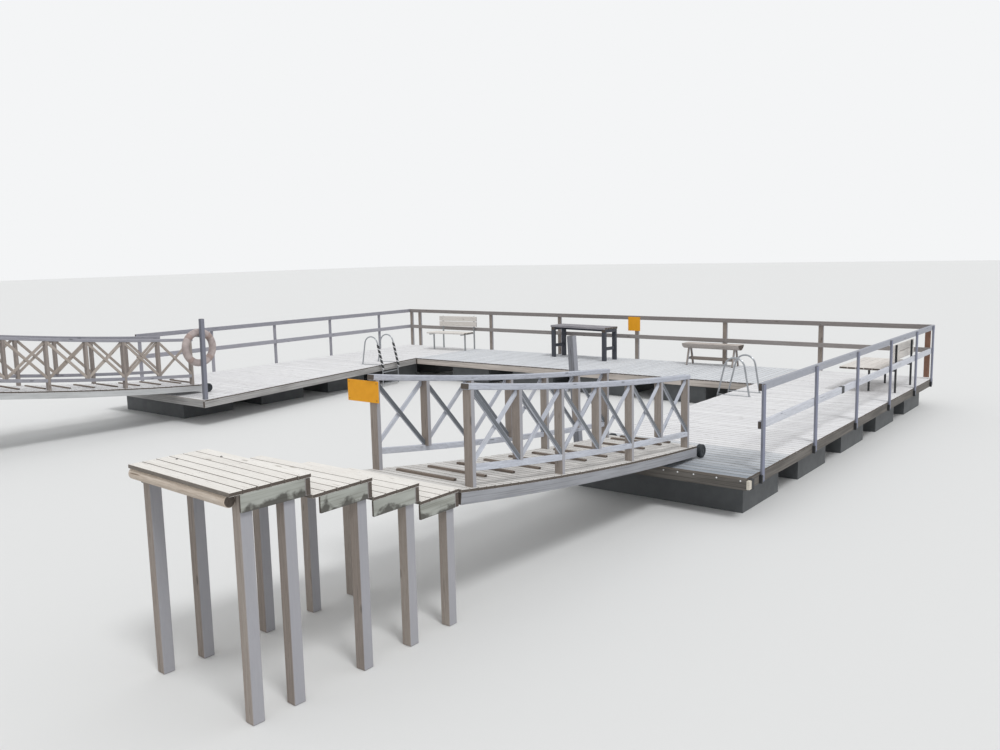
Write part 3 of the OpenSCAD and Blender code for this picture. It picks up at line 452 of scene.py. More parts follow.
class Planks:
    """Planks gathered into one mesh, each with its own grain and tone. Edged ones have a material of
    their own on their narrow edges."""

    def __init__(self, seed, place=None, edged=False):
        self.edged = edged
        self.verts, self.faces, self.slots = [], [], []
        self.grain, self.tone, self.wear = [], [], []
        self.random = random.Random(seed)
        self.place = place or Matrix()

    def sweep(self, path, across, section, skew=(0, 0), tone=None):
        """A timber whose section, a list of (across, up) points, follows a path of points."""
        tone = self.random.random() if tone is None else tone
        shift = Vector([self.random.uniform(0, GRAIN_SPAN) for _ in range(3)])
        first, count, size = len(self.verts), len(path), len(section)
        onward = (path[1] - path[0]).normalized()
        homeward = (path[-2] - path[-1]).normalized()
        # Each ring has its place, its point on the path, and how far it is drawn in for the arris
        rings = [(path[0], 0, ARRIS), (path[0] + onward * ARRIS, 0, 0)]
        rings += [(path[i], i, 0) for i in range(1, count - 1)]
        rings += [(path[-1] + homeward * ARRIS, count - 1, 0), (path[-1], count - 1, ARRIS)]
        travelled, before = 0.0, rings[0][0]
        middle = Vector((sum(u for u, _ in section), sum(v for _, v in section))) / size
        for at, index, cut in rings:
            ahead = path[min(index + 1, count - 1)] - path[max(index - 1, 0)]
            ahead.normalize()
            side = (across - ahead * across.dot(ahead)).normalized()
            up = side.cross(ahead)
            if up.z < 0:
                up = -up
            travelled += (at - before).length
            before = at
            lean = skew[0] if index == 0 else skew[1] if index == count - 1 else 0
            for u, v in section:
                u -= math.copysign(min(cut, abs(u - middle.x)), u - middle.x)
                v -= math.copysign(min(cut, abs(v - middle.y)), v - middle.y)
                self.verts.append(self.place @ (at + side * u + up * v + ahead * (lean * u)))
                self.grain.append(Vector((travelled, u, v)) + shift)
                self.tone.append(tone)
        foot = min(vert.z for vert in self.verts[first:])
        self.wear += [vert.z - foot for vert in self.verts[first:]]
        flip = side.cross(ahead).dot(up) < 0
        for ring in range(len(rings) - 1):
            for k in range(size):
                low, high = first + ring * size, first + (ring + 1) * size
                quad = [low + k, low + (k + 1) % size, high + (k + 1) % size, high + k]
                self.faces.append(quad[::-1] if flip else quad)
                self.slots.append(EDGE if self.edged and k in EDGE_SIDES else FACE)
        cap = [first + k for k in range(size)]
        last = [first + (len(rings) - 1) * size + k for k in range(size)]
        self.faces += [cap, last[::-1]] if flip else [cap[::-1], last]
        self.slots += [END, END]

    def plank(self, path, across, width, thick, skew=(0, 0), arris=ARRIS, tone=None):
        """A plank with eased arrises along a path."""
        w, t, a = width / 2, thick / 2, min(arris, width / 4, thick / 4)
        section = [(-w, -t + a), (-w + a, -t), (w - a, -t), (w, -t + a),
                   (w, t - a), (w - a, t), (-w + a, t), (-w, t - a)]
        self.sweep(path, across, section, skew, tone)

    def beam(self, low, high, along=None, tone=None):
        """A plank that fills a box. along is the axis of its grain, else the box's longest one."""
        size = [high[i] - low[i] for i in range(3)]
        axis = size.index(max(size)) if along is None else along
        others = [i for i in range(3) if i != axis]
        wide, thick = sorted(others, key=lambda i: -size[i])
        start, finish = (low + high) / 2, (low + high) / 2
        start[axis], finish[axis] = low[axis], high[axis]
        self.plank([start, finish], (X, Y, Z)[wide], size[wide], size[thick], tone=tone)

    def piece(self, name, face, node=None, body=None, end=None, slot=None, edge=None):
        """Makes the object, and lets it stand for a CAD node."""
        mesh = bpy.data.meshes.new(name)
        mesh.from_pydata(self.verts, [], self.faces)
        grain = mesh.attributes.new("grain", "FLOAT_VECTOR", "POINT")
        grain.data.foreach_set("vector", [c for place in self.grain for c in place])
        tone = mesh.attributes.new("tone", "FLOAT", "POINT")
        tone.data.foreach_set("value", self.tone)
        wear = mesh.attributes.new("wear", "FLOAT", "POINT")
        wear.data.foreach_set("value", self.wear)
        mesh.materials.append(face)
        mesh.materials.append(end or end_grain)
        if self.edged:
            mesh.materials.append(edge or board_edges)
        mesh.polygons.foreach_set("material_index", self.slots)
        obj = bpy.data.objects.new(name, mesh)
        bpy.context.scene.collection.objects.link(obj)
        settle(obj, node, body, slot)
        return obj


def settle(obj, node=None, body=None, slot=None):
    """Lets a piece ride on its body and replace its CAD node."""
    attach(obj, body or BODY_OF[node])
    if node:
        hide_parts(node)
    slot or SLOT_OF[node]


# Fastenings, each as a radius and how far it stands out: nails in boards are sunk a little
NAIL = (4.5 * MM, 1.1 * MM)
NAIL_SUNK = 0.4 * MM
EDGE_BOLT = (10 * MM, 7 * MM)
POST_BOLT = (9 * MM, 5 * MM)
RAIL_BOLT = (8 * MM, 5 * MM)
SLAT_BOLT = (6 * MM, 4 * MM)
PLATE_SCREW = (5 * MM, 2.5 * MM)


class Metal:
    """Turned and pressed parts gathered into one mesh."""

    def __init__(self):
        self.mesh = bmesh.new()

    def turned(self, at, axis, profile, sides=16):
        """A solid of revolution: profile is a list of (distance along the axis, radius)."""
        turn = axis.to_track_quat("Z", "Y").to_matrix()
        rings = []
        for along, radius in profile:
            ring = []
            for k in range(sides):
                angle = 2 * math.pi * k / sides
                spot = Vector((radius * math.cos(angle), radius * math.sin(angle), along))
                ring.append(self.mesh.verts.new(at + turn @ spot))
            rings.append(ring)
        for low, high in zip(rings, rings[1:]):
            for k in range(sides):
                self.mesh.faces.new((low[k], low[(k + 1) % sides], high[(k + 1) % sides], high[k]))
        self.mesh.faces.new(rings[0][::-1])
        self.mesh.faces.new(rings[-1])

    def head(self, at, axis, radius, height, sides=8):
        """A domed bolt or nail head."""
        self.turned(at, axis, [(0, radius), (height * 0.5, radius), (height, radius * 0.55)], sides)

    def nail(self, at):
        """A nail in a board whose top is at this point."""
        self.head(at - Z * NAIL_SUNK, Z, *NAIL, sides=6)

    def box(self, low, high):
        """A square tube or block between two corners."""
        made = bmesh.ops.create_cube(self.mesh, size=1)["verts"]
        centre = (low + high) / 2
        for vert in made:
            vert.co = Vector([centre[i] + vert.co[i] * (high[i] - low[i]) for i in range(3)])

    def piece(self, name, material, body, slot, smooth=False, node=None):
        """Makes the object, and lets it stand for a CAD node where one is given."""
        data = bpy.data.meshes.new(name)
        self.mesh.to_mesh(data)
        self.mesh.free()
        data.materials.append(material)
        data.polygons.foreach_set("use_smooth", [smooth] * len(data.polygons))
        obj = bpy.data.objects.new(name, data)
        bpy.context.scene.collection.objects.link(obj)
        settle(obj, node, body, slot)
        return obj


# Decks of the three arms: nails in from a board's edge and their stray, ragged ends, uneven tops

NAIL_IN = 26 * MM
NAIL_STRAY = 4 * MM
RAGGED = 4 * MM
UNEVEN = 1.5 * MM


def joist_lines(node, axis, width):
    """Middles of the edge beams and joists under a deck, across its boards."""
    low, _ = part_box(node)
    gap = (width - BEAM_T) / (JOISTS + 1)
    return [low[axis] + BEAM_T / 2 + i * gap for i in range(JOISTS + 2)]


def arm_deck(name, across_axis, start, finish, ends, joists, seed, material=bleached_decking, damp_shade_to=None):
    """A row of boards: ends(t) gives where a board at t begins and stops, and the slant of its far end, and
    joists(t) where it is nailed. Boards before the damp end are wet and in painted shade, more so the nearer
    to start."""
    wood, wet_shaded_boards, nails = Planks(seed, edged=True), Planks(seed + 1, edged=True), Metal()
    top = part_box(name)[1][2]
    count = round((finish - start) / (BOARD_W + BOARD_GAP))
    pitch = (finish - start) / count

    def at(along, across, z):
        return Vector((along, across, z) if across_axis == 1 else (across, along, z))

    for i in range(count):
        t = start + (i + 0.5) * pitch
        begin, stop, slant = ends(t)
        begin += wood.random.uniform(0, RAGGED)
        stop -= wood.random.uniform(0, RAGGED)
        face = top - wood.random.uniform(0, UNEVEN)
        path = [at(begin + (stop - begin) * k / 3, t, face - BOARD_T / 2) for k in range(4)]
        across = (X, Y, Z)[across_axis]
        # Boards dry unevenly, so the gaps between them differ
        width = pitch - BOARD_GAP * wood.random.uniform(0.5, 1.4)
        # Boards near the start are darkened for damp and for painted shade, more so nearer the start
        if damp_shade_to is not None and t < damp_shade_to:
            tone = (damp_shade_to - t) / (damp_shade_to - start) * wet_shaded_boards.random.uniform(0.7, 1.1)
            wet_shaded_boards.plank(path, across, width, BOARD_T, skew=(0, slant), tone=tone)
        else:
            wood.plank(path, across, width, BOARD_T, skew=(0, slant))
        for joist in joists(t):
            for side in (-1, 1):
                stray = wood.random.uniform(-NAIL_STRAY, NAIL_STRAY)
                nails.nail(at(joist + stray, t + side * (pitch / 2 - NAIL_IN), face))
    wood.piece(name + "_boards", material, name, edge=soft_edges)
    if wet_shaded_boards.verts:
        wet_shaded_boards.piece(name + "_damp_shaded_boards", damp_shaded_decking, None, BODY_OF[name], slot=SLOT_OF[name])
    nails.piece(name + "_nails", galvanised, BODY_OF[name], "galvanised")


r_low, r_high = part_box("right_deck")
b_low, b_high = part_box("back_deck")
l_low, l_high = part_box("left_deck")
left_inner = b_low[0]
flare = (left_inner - l_high[0]) / (b_low[1] - l_low[1])


def left_edge(y):
    """X of the left arm's inner edge, which flares out towards the shore."""
    return left_inner + min(0, y - b_low[1]) * flare


# The right arm's boards are damp and in painted shade over this length from its near end
DAMP_SHADE_END = 1.35

# Under the flare, a joist takes nails where the edge is this far off, and one more where there is room
JOIST_CLEAR = 60 * MM
JOIST_ROOM = 100 * MM

right_joists = joist_lines("right_deck", 0, r_high[0] - r_low[0])
back_joists = joist_lines("back_deck", 1, b_high[1] - b_low[1])
left_joists = joist_lines("left_deck", 0, left_inner - l_low[0])
left_gap = left_joists[1] - left_joists[0]


def left_nail_lines(y):
    """The joists that lie under the left arm at y, with those of the flare."""
    edge = left_edge(y) - BEAM_T / 2
    last = left_joists[-1]
    lines = left_joists[:-1]
    if edge - last > JOIST_CLEAR:
        lines = lines + [last]
    if edge - last > left_gap + JOIST_ROOM:
        lines = lines + [last + left_gap]
    return lines + [edge]


arm_deck("right_deck", 1, r_low[1], r_high[1], lambda y: (r_low[0], r_high[0], 0),
         lambda y: right_joists, seed=11, damp_shade_to=r_low[1] + DAMP_SHADE_END)
arm_deck("left_deck", 1, l_low[1], l_high[1],
         lambda y: (l_low[0], left_edge(y), flare if y < b_low[1] else 0), left_nail_lines, seed=12)
arm_deck("back_deck", 0, b_low[0], b_high[0], lambda x: (b_low[1], b_high[1], 0),
         lambda x: back_joists, seed=13, material=back_decking)


# Frames under the decks: edge beams and joists. A timber that is wider than this both ways is slanted

SLANTED = 0.3


def frame_beams(arm, seed, material):
    """Every beam and joist of a frame; the flared arm's slanting edge beam follows its edge."""
    node = arm + "_frame"
    wood = Planks(seed)
    for low, high in solids(node):
        if min(high.x - low.x, high.y - low.y) > SLANTED:
            mid, half = (low.z + high.z) / 2, BEAM_T / 2
            path = [Vector((high.x - half, low.y, mid)), Vector((low.x + half, high.y, mid))]
            wood.plank(path, Z, high.z - low.z, BEAM_T)
        else:
            wood.beam(low, high)
    wood.piece(node + "_beams", material, node)


for arm, seed, material in (("right", 21, near_paint), ("back", 22, back_paint), ("left", 23, left_paint)):
    frame_beams(arm, seed, material)


# The near edge of the right arm: bolt heads under the boards, counted from the outer corner, and past
# the corner a pale beam end in front of a black block

EDGE_BOLTS = (0.068, 0.35, 0.63, 0.83, 1.01)
EDGE_BOLT_DOWN = 14 * MM
CORNER_OUT = 40 * MM
CORNER_END = 55 * MM
CORNER_BLOCK = 75 * MM
END_PROUD = 3 * MM
END_UP = 12 * MM
END_DOWN = 4 * MM


def near_edge():
    """Bolts in the near edge beam, and the beam end and block at its outer corner."""
    bolts, end, block = Metal(), Planks(24), Metal()
    low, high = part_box("right_frame")
    for back in EDGE_BOLTS:
        bolts.head(Vector((high.x - back, low.y, high.z - EDGE_BOLT_DOWN)), -Y, *EDGE_BOLT)
    bolts.piece("right_near_edge_bolts", bright_zinc, "jetty", "galvanised", smooth=True)
    inner, outer, joint = high.x + MM, high.x + CORNER_OUT, low.y + CORNER_END
    end.beam(Vector((inner, low.y - END_PROUD, low.z + END_UP)), Vector((outer, joint, high.z - END_DOWN)),
             along=1)
    end.piece("right_corner_beam_end", cream_paint, None, "jetty", end=cream_paint, slot="frame")
    block.box(Vector((inner, joint + MM, low.z)), Vector((outer, joint + CORNER_BLOCK, high.z)))
    block.piece("right_corner_block", black_steel, "jetty", "black_steel")


near_edge()


# Railings: posts against the outside of the arms and planks along their inner faces

RAIL_BUTT = 4 * MM
POST_BOLTS_DOWN = (100 * MM, 55 * MM)


def rail_posts(node, material, seed):
    """Posts with two bolts through the edge beam, and one in each rail. The corner post is reddish."""
    wood, odd, bolts = Planks(seed), Planks(seed + 1), Metal()
    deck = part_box("right_deck")[1][2]
    rails = solids(node.replace("_rail_posts", "_rails"))
    posts = solids(node)
    for low, high in posts:
        corner = node.startswith("back") and low.x == max(p[0].x for p in posts)
        (odd if corner else wood).beam(low, high, along=2)
        size = high - low
        out = 0 if size.x < size.y else 1
        sign = 1 if (low[out] + high[out]) > 0 else -1
        face = high[out] if sign > 0 else low[out]
        at = (low + high) / 2
        for down in POST_BOLTS_DOWN:
            at[out], at.z = face, deck - down
            bolts.head(at, (X, Y)[out] * sign, *POST_BOLT)
        for a, b in rails:
            inner = a if sign > 0 else b
            if a[1 - out] < at[1 - out] < b[1 - out]:
                at[out], at.z = inner[out], (a.z + b.z) / 2
                bolts.head(at, (X, Y)[out] * -sign, *RAIL_BOLT)
    wood.piece(node + "_timbers", material, node)
    if odd.verts:
        odd.piece(node + "_corner_timber", red_post, None, "jetty", slot=SLOT_OF[node])
    bolts.piece(node + "_bolts", galvanised, "jetty", "galvanised", smooth=True)


def rail_planks(node, posts, material, seed):
    """Rail planks, each two or three bays long, butted on the posts. The top rail is toned darker, a painted
    shade.
    """
    wood = Planks(seed)
    low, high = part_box(node)
    axis = 0 if high[0] - low[0] > high[1] - low[1] else 1
    stops = sorted((a[axis] + b[axis]) / 2 for a, b in solids(posts))
    rail_mid = (low[2] + high[2]) / 2
    for index, (a, b) in enumerate(solids(node)):
        joints = [stops[k] for k in range(2 + index, len(stops) - 1, 3)]
        cuts = [low[axis]] + joints + [high[axis]]
        for begin, stop in zip(cuts, cuts[1:]):
            start, finish = a.copy(), b.copy()
            start[axis] = begin + (RAIL_BUTT / 2 if begin != cuts[0] else 0)
            finish[axis] = stop - (RAIL_BUTT / 2 if stop != cuts[-1] else 0)
            # Painted shade: the top rail is toned darker than the rails below it
            wood.beam(start, finish, tone=wood.random.uniform(0, 0.3) + (0.7 if a.z > rail_mid else 0))
    wood.piece(node + "_planks", material, node)


for arm, post_wood, rail_wood, seed in (("right", pale_posts, pale_rails, 31),
                                        ("back", brown_posts, back_rail_wood, 33),
                                        ("left", shaded_left_rail_wood, shaded_left_rail_wood, 35)):
    rail_posts(arm + "_rail_posts", post_wood, seed)
    rail_planks(arm + "_rails", arm + "_rail_posts", rail_wood, seed + 10)


# A black strap mends the middle rail of the right arm

STRAP_FROM_NEAR = 3.33
STRAP_W = 110 * MM
STRAP_T = 3 * MM


def rail_strap():
    strap = Metal()
    low, high = min(solids("right_rails"), key=lambda box: box[0].z)
    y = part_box("right_deck")[0][1] + STRAP_FROM_NEAR
    strap.box(Vector((low.x - STRAP_T, y, low.z - STRAP_T)),
              Vector((high.x + STRAP_T, y + STRAP_W, high.z + STRAP_T)))
    strap.piece("right_rail_strap", black_steel, "jetty", "black_steel")


rail_strap()


# Gangways: a curved deck with foot cleats, beams below, and a railing with crossed laths on both sides

SIDE_BEAM_H = 100 * MM
INNER_BEAM = 190 * MM
GANGWAY_STRAY = 3 * MM
CLEATS = 10
CLEAT_FIRST = 0.290
CLEAT_STEP = 0.420
CLEAT_LAST = 70 * MM
CLEAT_L = 0.690
CLEAT_W = 45 * MM
CLEAT_T = 22 * MM
CLEAT_OFF = -75 * MM
HANDRAIL_UP = 0.820
HANDRAIL_T = 52 * MM
HANDRAIL_ARRIS = 6 * MM
LOW_RAIL_TOP = 195 * MM
LOW_RAIL_T = 55 * MM
BRACE_W = 45 * MM
BRACE_T = 20 * MM
BRACE_IN = 5 * MM
BRACE_END = BRACE_W * 0.42
BRACE_REACH = 12 * MM


def deck_profile(node):
    """Height of a gangway's deck along Y, read from the edge of its CAD slab."""
    mesh = frame["nodes"][node].data
    low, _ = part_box(node)
    tops = {}
    for vert in mesh.vertices:
        if vert.co.x < low[0] + MM:
            key = round(vert.co.y, 4)
            # At each station only the top of the slab counts
            tops[key] = max(tops.get(key, -1), vert.co.z)
    stations = sorted(tops)

    def height(y):
        y = min(max(y, stations[0]), stations[-1])
        for a, b in zip(stations, stations[1:]):
            if a <= y <= b:
                return tops[a] + (tops[b] - tops[a]) * (y - a) / (b - a)
        return tops[stations[-1]]

    return height


def follow(height, x, y0, y1, lift, steps=12):
    """Points along a gangway at a fixed height above its deck."""
    return [Vector((x, y0 + (y1 - y0) * i / steps, height(y0 + (y1 - y0) * i / steps) + lift))
            for i in range(steps + 1)]


def uphill(height, y):
    """The direction across the boards of a curved deck at y."""
    reach = 50 * MM
    return Vector((0, 1, (height(y + reach) - height(y - reach)) / (2 * reach))).normalized()


def gangway_deck(side, height, seed):
    """Boards across the gangway, nailed to its four long beams."""
    deck = side + "_gangway_deck"
    low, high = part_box(deck)
    middle, half = (low[0] + high[0]) / 2, (high[0] - low[0]) / 2
    boards, nails = Planks(seed, edged=True), Metal()
    count = round((high[1] - low[1]) / (BOARD_W + BOARD_GAP))
    pitch = (high[1] - low[1]) / count
    beams = (-half + BEAM_T / 2, -INNER_BEAM + BEAM_T / 2, INNER_BEAM - BEAM_T / 2, half - BEAM_T / 2)
    for i in range(count):
        y = low[1] + (i + 0.5) * pitch
        z = height(y) - BOARD_T / 2
        a = Vector((low[0] + boards.random.uniform(0, RAGGED), y, z))
        b = Vector((high[0] - boards.random.uniform(0, RAGGED), y, z))
        boards.plank([a, b], uphill(height, y), pitch - BOARD_GAP, BOARD_T)
        for x in beams:
            for step in (-1, 1):
                stray = boards.random.uniform(-GANGWAY_STRAY, GANGWAY_STRAY)
                nail_y = y + step * (pitch / 2 - NAIL_IN)
                nails.nail(Vector((middle + x + stray, nail_y, height(nail_y))))
    boards.piece(deck + "_boards", bleached_decking if side == "left" else gangway_decking, deck)
    nails.piece(deck + "_nails", galvanised, BODY_OF[deck], "galvanised")


def gangway_cleats(side, height, seed):
    """Foot cleats at even steps from the landing, and one more at the pontoon's end."""
    deck = side + "_gangway_deck"
    low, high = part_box(deck)
    middle = (low[0] + high[0]) / 2 + CLEAT_OFF
    cleats = Planks(seed)
    places = [low[1] + CLEAT_FIRST + i * CLEAT_STEP for i in range(CLEATS)] + [high[1] - CLEAT_LAST]
    for place in places:
        y = place + CLEAT_W / 2
        z = height(y) + CLEAT_T / 2
        a, b = Vector((middle - CLEAT_L / 2, y, z)), Vector((middle + CLEAT_L / 2, y, z))
        cleats.plank([a, b], uphill(height, y), CLEAT_W, CLEAT_T)
    cleats.piece(deck + "_cleats", dark_boards, None, BODY_OF[deck], slot="post")


def gangway_beams(side, height, seed):
    """Long beams that follow the deck's curve, and short ones across between them."""
    node = side + "_gangway_beams"
    beams = Planks(seed)
    lift = -BOARD_T - SIDE_BEAM_H / 2
    for a, b in solids(node):
        if b.y - a.y > 1:
            beams.plank(follow(height, (a.x + b.x) / 2, a.y, b.y, lift), Z, SIDE_BEAM_H, b.x - a.x)
        else:
            y = (a.y + b.y) / 2
            z = height(y) + lift
            beams.plank([Vector((a.x, y, z)), Vector((b.x, y, z))], Z, SIDE_BEAM_H, b.y - a.y)
    beams.piece(side + "_gangway_side_beams", side_paint if side == "right" else pale_paint, node)


def gangway_railing(side, height, seed):
    """Uprights, the flat handrails over them, and the lower rails between them."""
    post_wood, rail_wood = (brown_posts, grey_rails) if side == "right" else (left_posts, shaded_left_rail_wood)
    uprights, rails, lower = Planks(seed), Planks(seed + 1), Planks(seed + 2)
    node = side + "_gangway_uprights"
    for a, b in solids(node):
        uprights.beam(a, b, along=2)
    uprights.piece(node + "_timbers", post_wood, node)
    node = side + "_gangway_handrails"
    for a, b in solids(node):
        path = follow(height, (a.x + b.x) / 2, a.y, b.y, HANDRAIL_UP + HANDRAIL_T / 2)
        rails.plank(path, X, b.x - a.x, HANDRAIL_T, arris=HANDRAIL_ARRIS)
    rails.piece(node + "_timbers", rail_wood, node)
    node = side + "_gangway_lower_rails"
    for a, b in solids(node):
        path = follow(height, (a.x + b.x) / 2, a.y, b.y, LOW_RAIL_TOP - LOW_RAIL_T / 2, 4)
        lower.plank(path, X, b.x - a.x, LOW_RAIL_T)
    lower.piece(node + "_timbers", rail_wood, node)


def gangway_braces(side, height, seed):
    """Crossed laths in each bay. On both sides the falling ones lie towards +X of the rising ones."""
    node = side + "_gangway_braces"
    low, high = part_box(side + "_gangway_deck")
    middle = (low[0] + high[0]) / 2
    falling, rising = Planks(seed, edged=True), Planks(seed + 1)
    stands = sorted(solids(side + "_gangway_uprights"), key=lambda s: s[0].y)
    for sign in (-1, 1):
        row = [s for s in stands if ((s[0].x + s[1].x) / 2 - middle) * sign > 0]
        if sign > 0:
            x = row[0][1].x - BRACE_IN - BRACE_T / 2
        else:
            x = row[0][0].x + BRACE_IN + BRACE_T * 1.5
        for near, far in zip(row, row[1:]):
            y0, y1 = near[1].y, far[0].y
            top = [height(y) + HANDRAIL_UP - BRACE_END for y in (y0, y1)]
            base = [height(y) + LOW_RAIL_TOP + BRACE_END for y in (y0, y1)]
            for wood, at, z0, z1 in ((falling, x, top[0], base[1]), (rising, x - BRACE_T, base[0], top[1])):
                step = Vector((0, y1 - y0, z1 - z0)).normalized() * BRACE_REACH
                a, b = Vector((at, y0, z0)) - step, Vector((at, y1, z1)) + step
                wood.plank([a, b], X.cross(step).normalized(), BRACE_W, BRACE_T - MM)
    # On the right, the falling laths' broad faces are painted in shade, and only their narrow edges keep the
    # rails' grey
    falling_wood, rising_wood = (shaded_laths, grey_rails) if side == "right" else (light_laths, light_laths)
    falling.piece(side + "_gangway_falling_laths", falling_wood, node, edge=rising_wood)
    rising.piece(side + "_gangway_rising_laths", rising_wood, None, BODY_OF[node], slot="brace")


for side, seed in (("right", 50), ("left", 70)):
    curve = deck_profile(side + "_gangway_deck")
    gangway_deck(side, curve, seed)
    gangway_cleats(side, curve, seed + 1)
    gangway_beams(side, curve, seed + 2)
    gangway_railing(side, curve, seed + 3)
    gangway_braces(side, curve, seed + 6)


# Wheels: solid rubber rollers with a rounded tread, a recessed side and a steel hub

WHEEL_W = 70 * MM
BORE_R = 18 * MM
AXLE_R = 15 * MM
AXLE_IN = 50 * MM


def wheels(side):
    """Two tyres, and the hubs with the axle between them."""
    node = side + "_gangway_wheels"
    low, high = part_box(node)
    axle_y, axle_z = (low[1] + high[1]) / 2, (low[2] + high[2]) / 2
    radius = (high[2] - low[2]) / 2
    # From the outer side inwards: dish, rim, rounded tread with a groove, rim
    tread = [(0.004, BORE_R), (0.004, radius * 0.62), (0.0, radius * 0.70), (0.0, radius * 0.86),
             (0.005, radius * 0.96), (0.012, radius), (0.031, radius), (0.034, radius - 0.003),
             (0.037, radius), (WHEEL_W - 0.012, radius), (WHEEL_W - 0.005, radius * 0.96),
             (WHEEL_W, radius * 0.86), (WHEEL_W, BORE_R)]
    cap = [(0.001, 0.010), (0.001, 0.014), (0.006, 0.019), (0.020, 0.019)]
    tyre, hub = Metal(), Metal()
    for sign, outside in ((1, high[0]), (-1, low[0])):
        at = Vector((outside, axle_y, axle_z))
        tyre.turned(at, -X * sign, tread, sides=40)
        hub.turned(at, -X * sign, cap, sides=24)
    length = high[0] - low[0] - 2 * AXLE_IN
    hub.turned(Vector((low[0] + AXLE_IN, axle_y, axle_z)), X, [(0, AXLE_R), (length, AXLE_R)], sides=24)
    tyre.piece(side + "_gangway_tyres", old_rubber, BODY_OF[node], SLOT_OF[node], smooth=True, node=node)
    hub.piece(side + "_gangway_hubs", black_steel, BODY_OF[node], "black_steel", smooth=True)


for side in ("right", "left"):
    wheels(side)


# Landing steps: four platforms in each flight, ragged at their ends, with nails in from them

STEP_RAGGED = 6 * MM
STEP_NAIL_IN = 30 * MM
# Two dark bolt heads on the highest platform, from the middle of the steps and their shore edge
DARK_BOLTS = ((-0.50, 0.36), (-0.29, 0.59))


def step_boards(side, seed):
    """The platforms' boards, the highest ones turned a little, with their nails and two bolts."""
    node = side + "_steps"
    boards, nails, bolts = Planks(seed, edged=True), Metal(), Metal()
    for turn, low, high in turned_solids(node, TOP_TURN):
        boards.place = turn
        count = round((high.y - low.y) / (BOARD_W + BOARD_GAP))
        pitch = (high.y - low.y) / count
        for i in range(count):
            y = low.y + (i + 0.5) * pitch
            a = Vector((low.x + boards.random.uniform(0, STEP_RAGGED), y, high.z - BOARD_T / 2))
            b = Vector((high.x - boards.random.uniform(0, STEP_RAGGED), y, high.z - BOARD_T / 2))
            width = pitch - BOARD_GAP * boards.random.uniform(0.3, 1.1)
            boards.plank([a, (a + b) / 2, b], Y, width, BOARD_T)
            for x in (low.x + STEP_NAIL_IN, (low.x + high.x) / 2, high.x - STEP_NAIL_IN):
                for step in (-1, 1):
                    stray = boards.random.uniform(-NAIL_STRAY, NAIL_STRAY)
                    nails.nail(turn @ Vector((x + stray, y + step * (pitch / 2 - NAIL_IN), high.z)))
    boards.piece(side + "_step_boards", bleached_steps, node)
    nails.piece(side + "_step_nails", galvanised, BODY_OF[node], "galvanised")
    low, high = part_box(node)
    for x, y in DARK_BOLTS:
        bolts.head(Vector(((low[0] + high[0]) / 2 + x, low[1] + y, high[2])), Z, *POST_BOLT)
    bolts.piece(side + "_step_dark_bolts", black_steel, BODY_OF[node], "black_steel", smooth=True)


def step_carriers(side, seed):
    """The painted side panels, the risers between them, and the legs."""
    node = side + "_step_sides"
    panels, risers, legs = Planks(seed), Planks(seed + 1), Planks(seed + 2)
    for turn, low, high in turned_solids(node, TOP_TURN):
        panels.place = risers.place = turn
        if high.x - low.x < high.y - low.y:
            panels.beam(low, high, along=1)
        else:
            risers.beam(low, high, along=0)
    panels.piece(node + "_panels", panel_paint, node)
    risers.piece(side + "_step_risers", brown_posts, None, BODY_OF[node], slot="step_side")
    node = side + "_step_legs"
    for turn, low, high in turned_solids(node, TOP_TURN):
        legs.place = turn
        legs.beam(low, high, along=2)
    legs.piece(node + "_timbers", brown_posts, node)


for side, seed in (("right", 90), ("left", 100)):
    step_boards(side, seed)
    step_carriers(side, seed + 1)


# Round timbers

def round_section(radius, sides=18):
    return [(radius * math.cos(2 * math.pi * k / sides), radius * math.sin(2 * math.pi * k / sides))
            for k in range(sides)]


def step_logs():
    """A barked log under the shore edge of each highest platform."""
    logs = Planks(110)
    for turn, low, high in turned_solids("step_logs", TOP_TURN):
        logs.place = turn
        middle = (low + high) / 2
        ends = [Vector((x, middle.y, middle.z)) for x in (low.x, middle.x, high.x)]
        logs.sweep(ends, Y, round_section((high.z - low.z) / 2))
    logs.piece("step_logs_bark", barked_log, "step_logs")


step_logs()


# Furniture, each piece built in its own directions and carried to its place

DECK_Z = r_high[2]


def spot(x, y, degrees=0):
    """A matrix that carries a piece to a place on the deck and turns it."""
    return Matrix.Translation(Vector((x, y, DECK_Z))) @ Matrix.Rotation(math.radians(degrees), 4, "Z")


# The table: its top, its legs and how far in they stand, the H shaped ends' bar and head, the apron

TABLE_L = 1.640
TABLE_W = 0.480
TABLE_H = 0.765
TABLE_T = 45 * MM
TABLE_PLANKS = 5
TABLE_GAP = 4 * MM
TABLE_LEG_W = 110 * MM
TABLE_LEG_T = 48 * MM
TABLE_LEG_IN = 50 * MM
TABLE_BAR = (240 * MM, 310 * MM)
TABLE_HEAD_H = 70 * MM
TABLE_APRON_H = 90 * MM
TABLE_TURN = -7


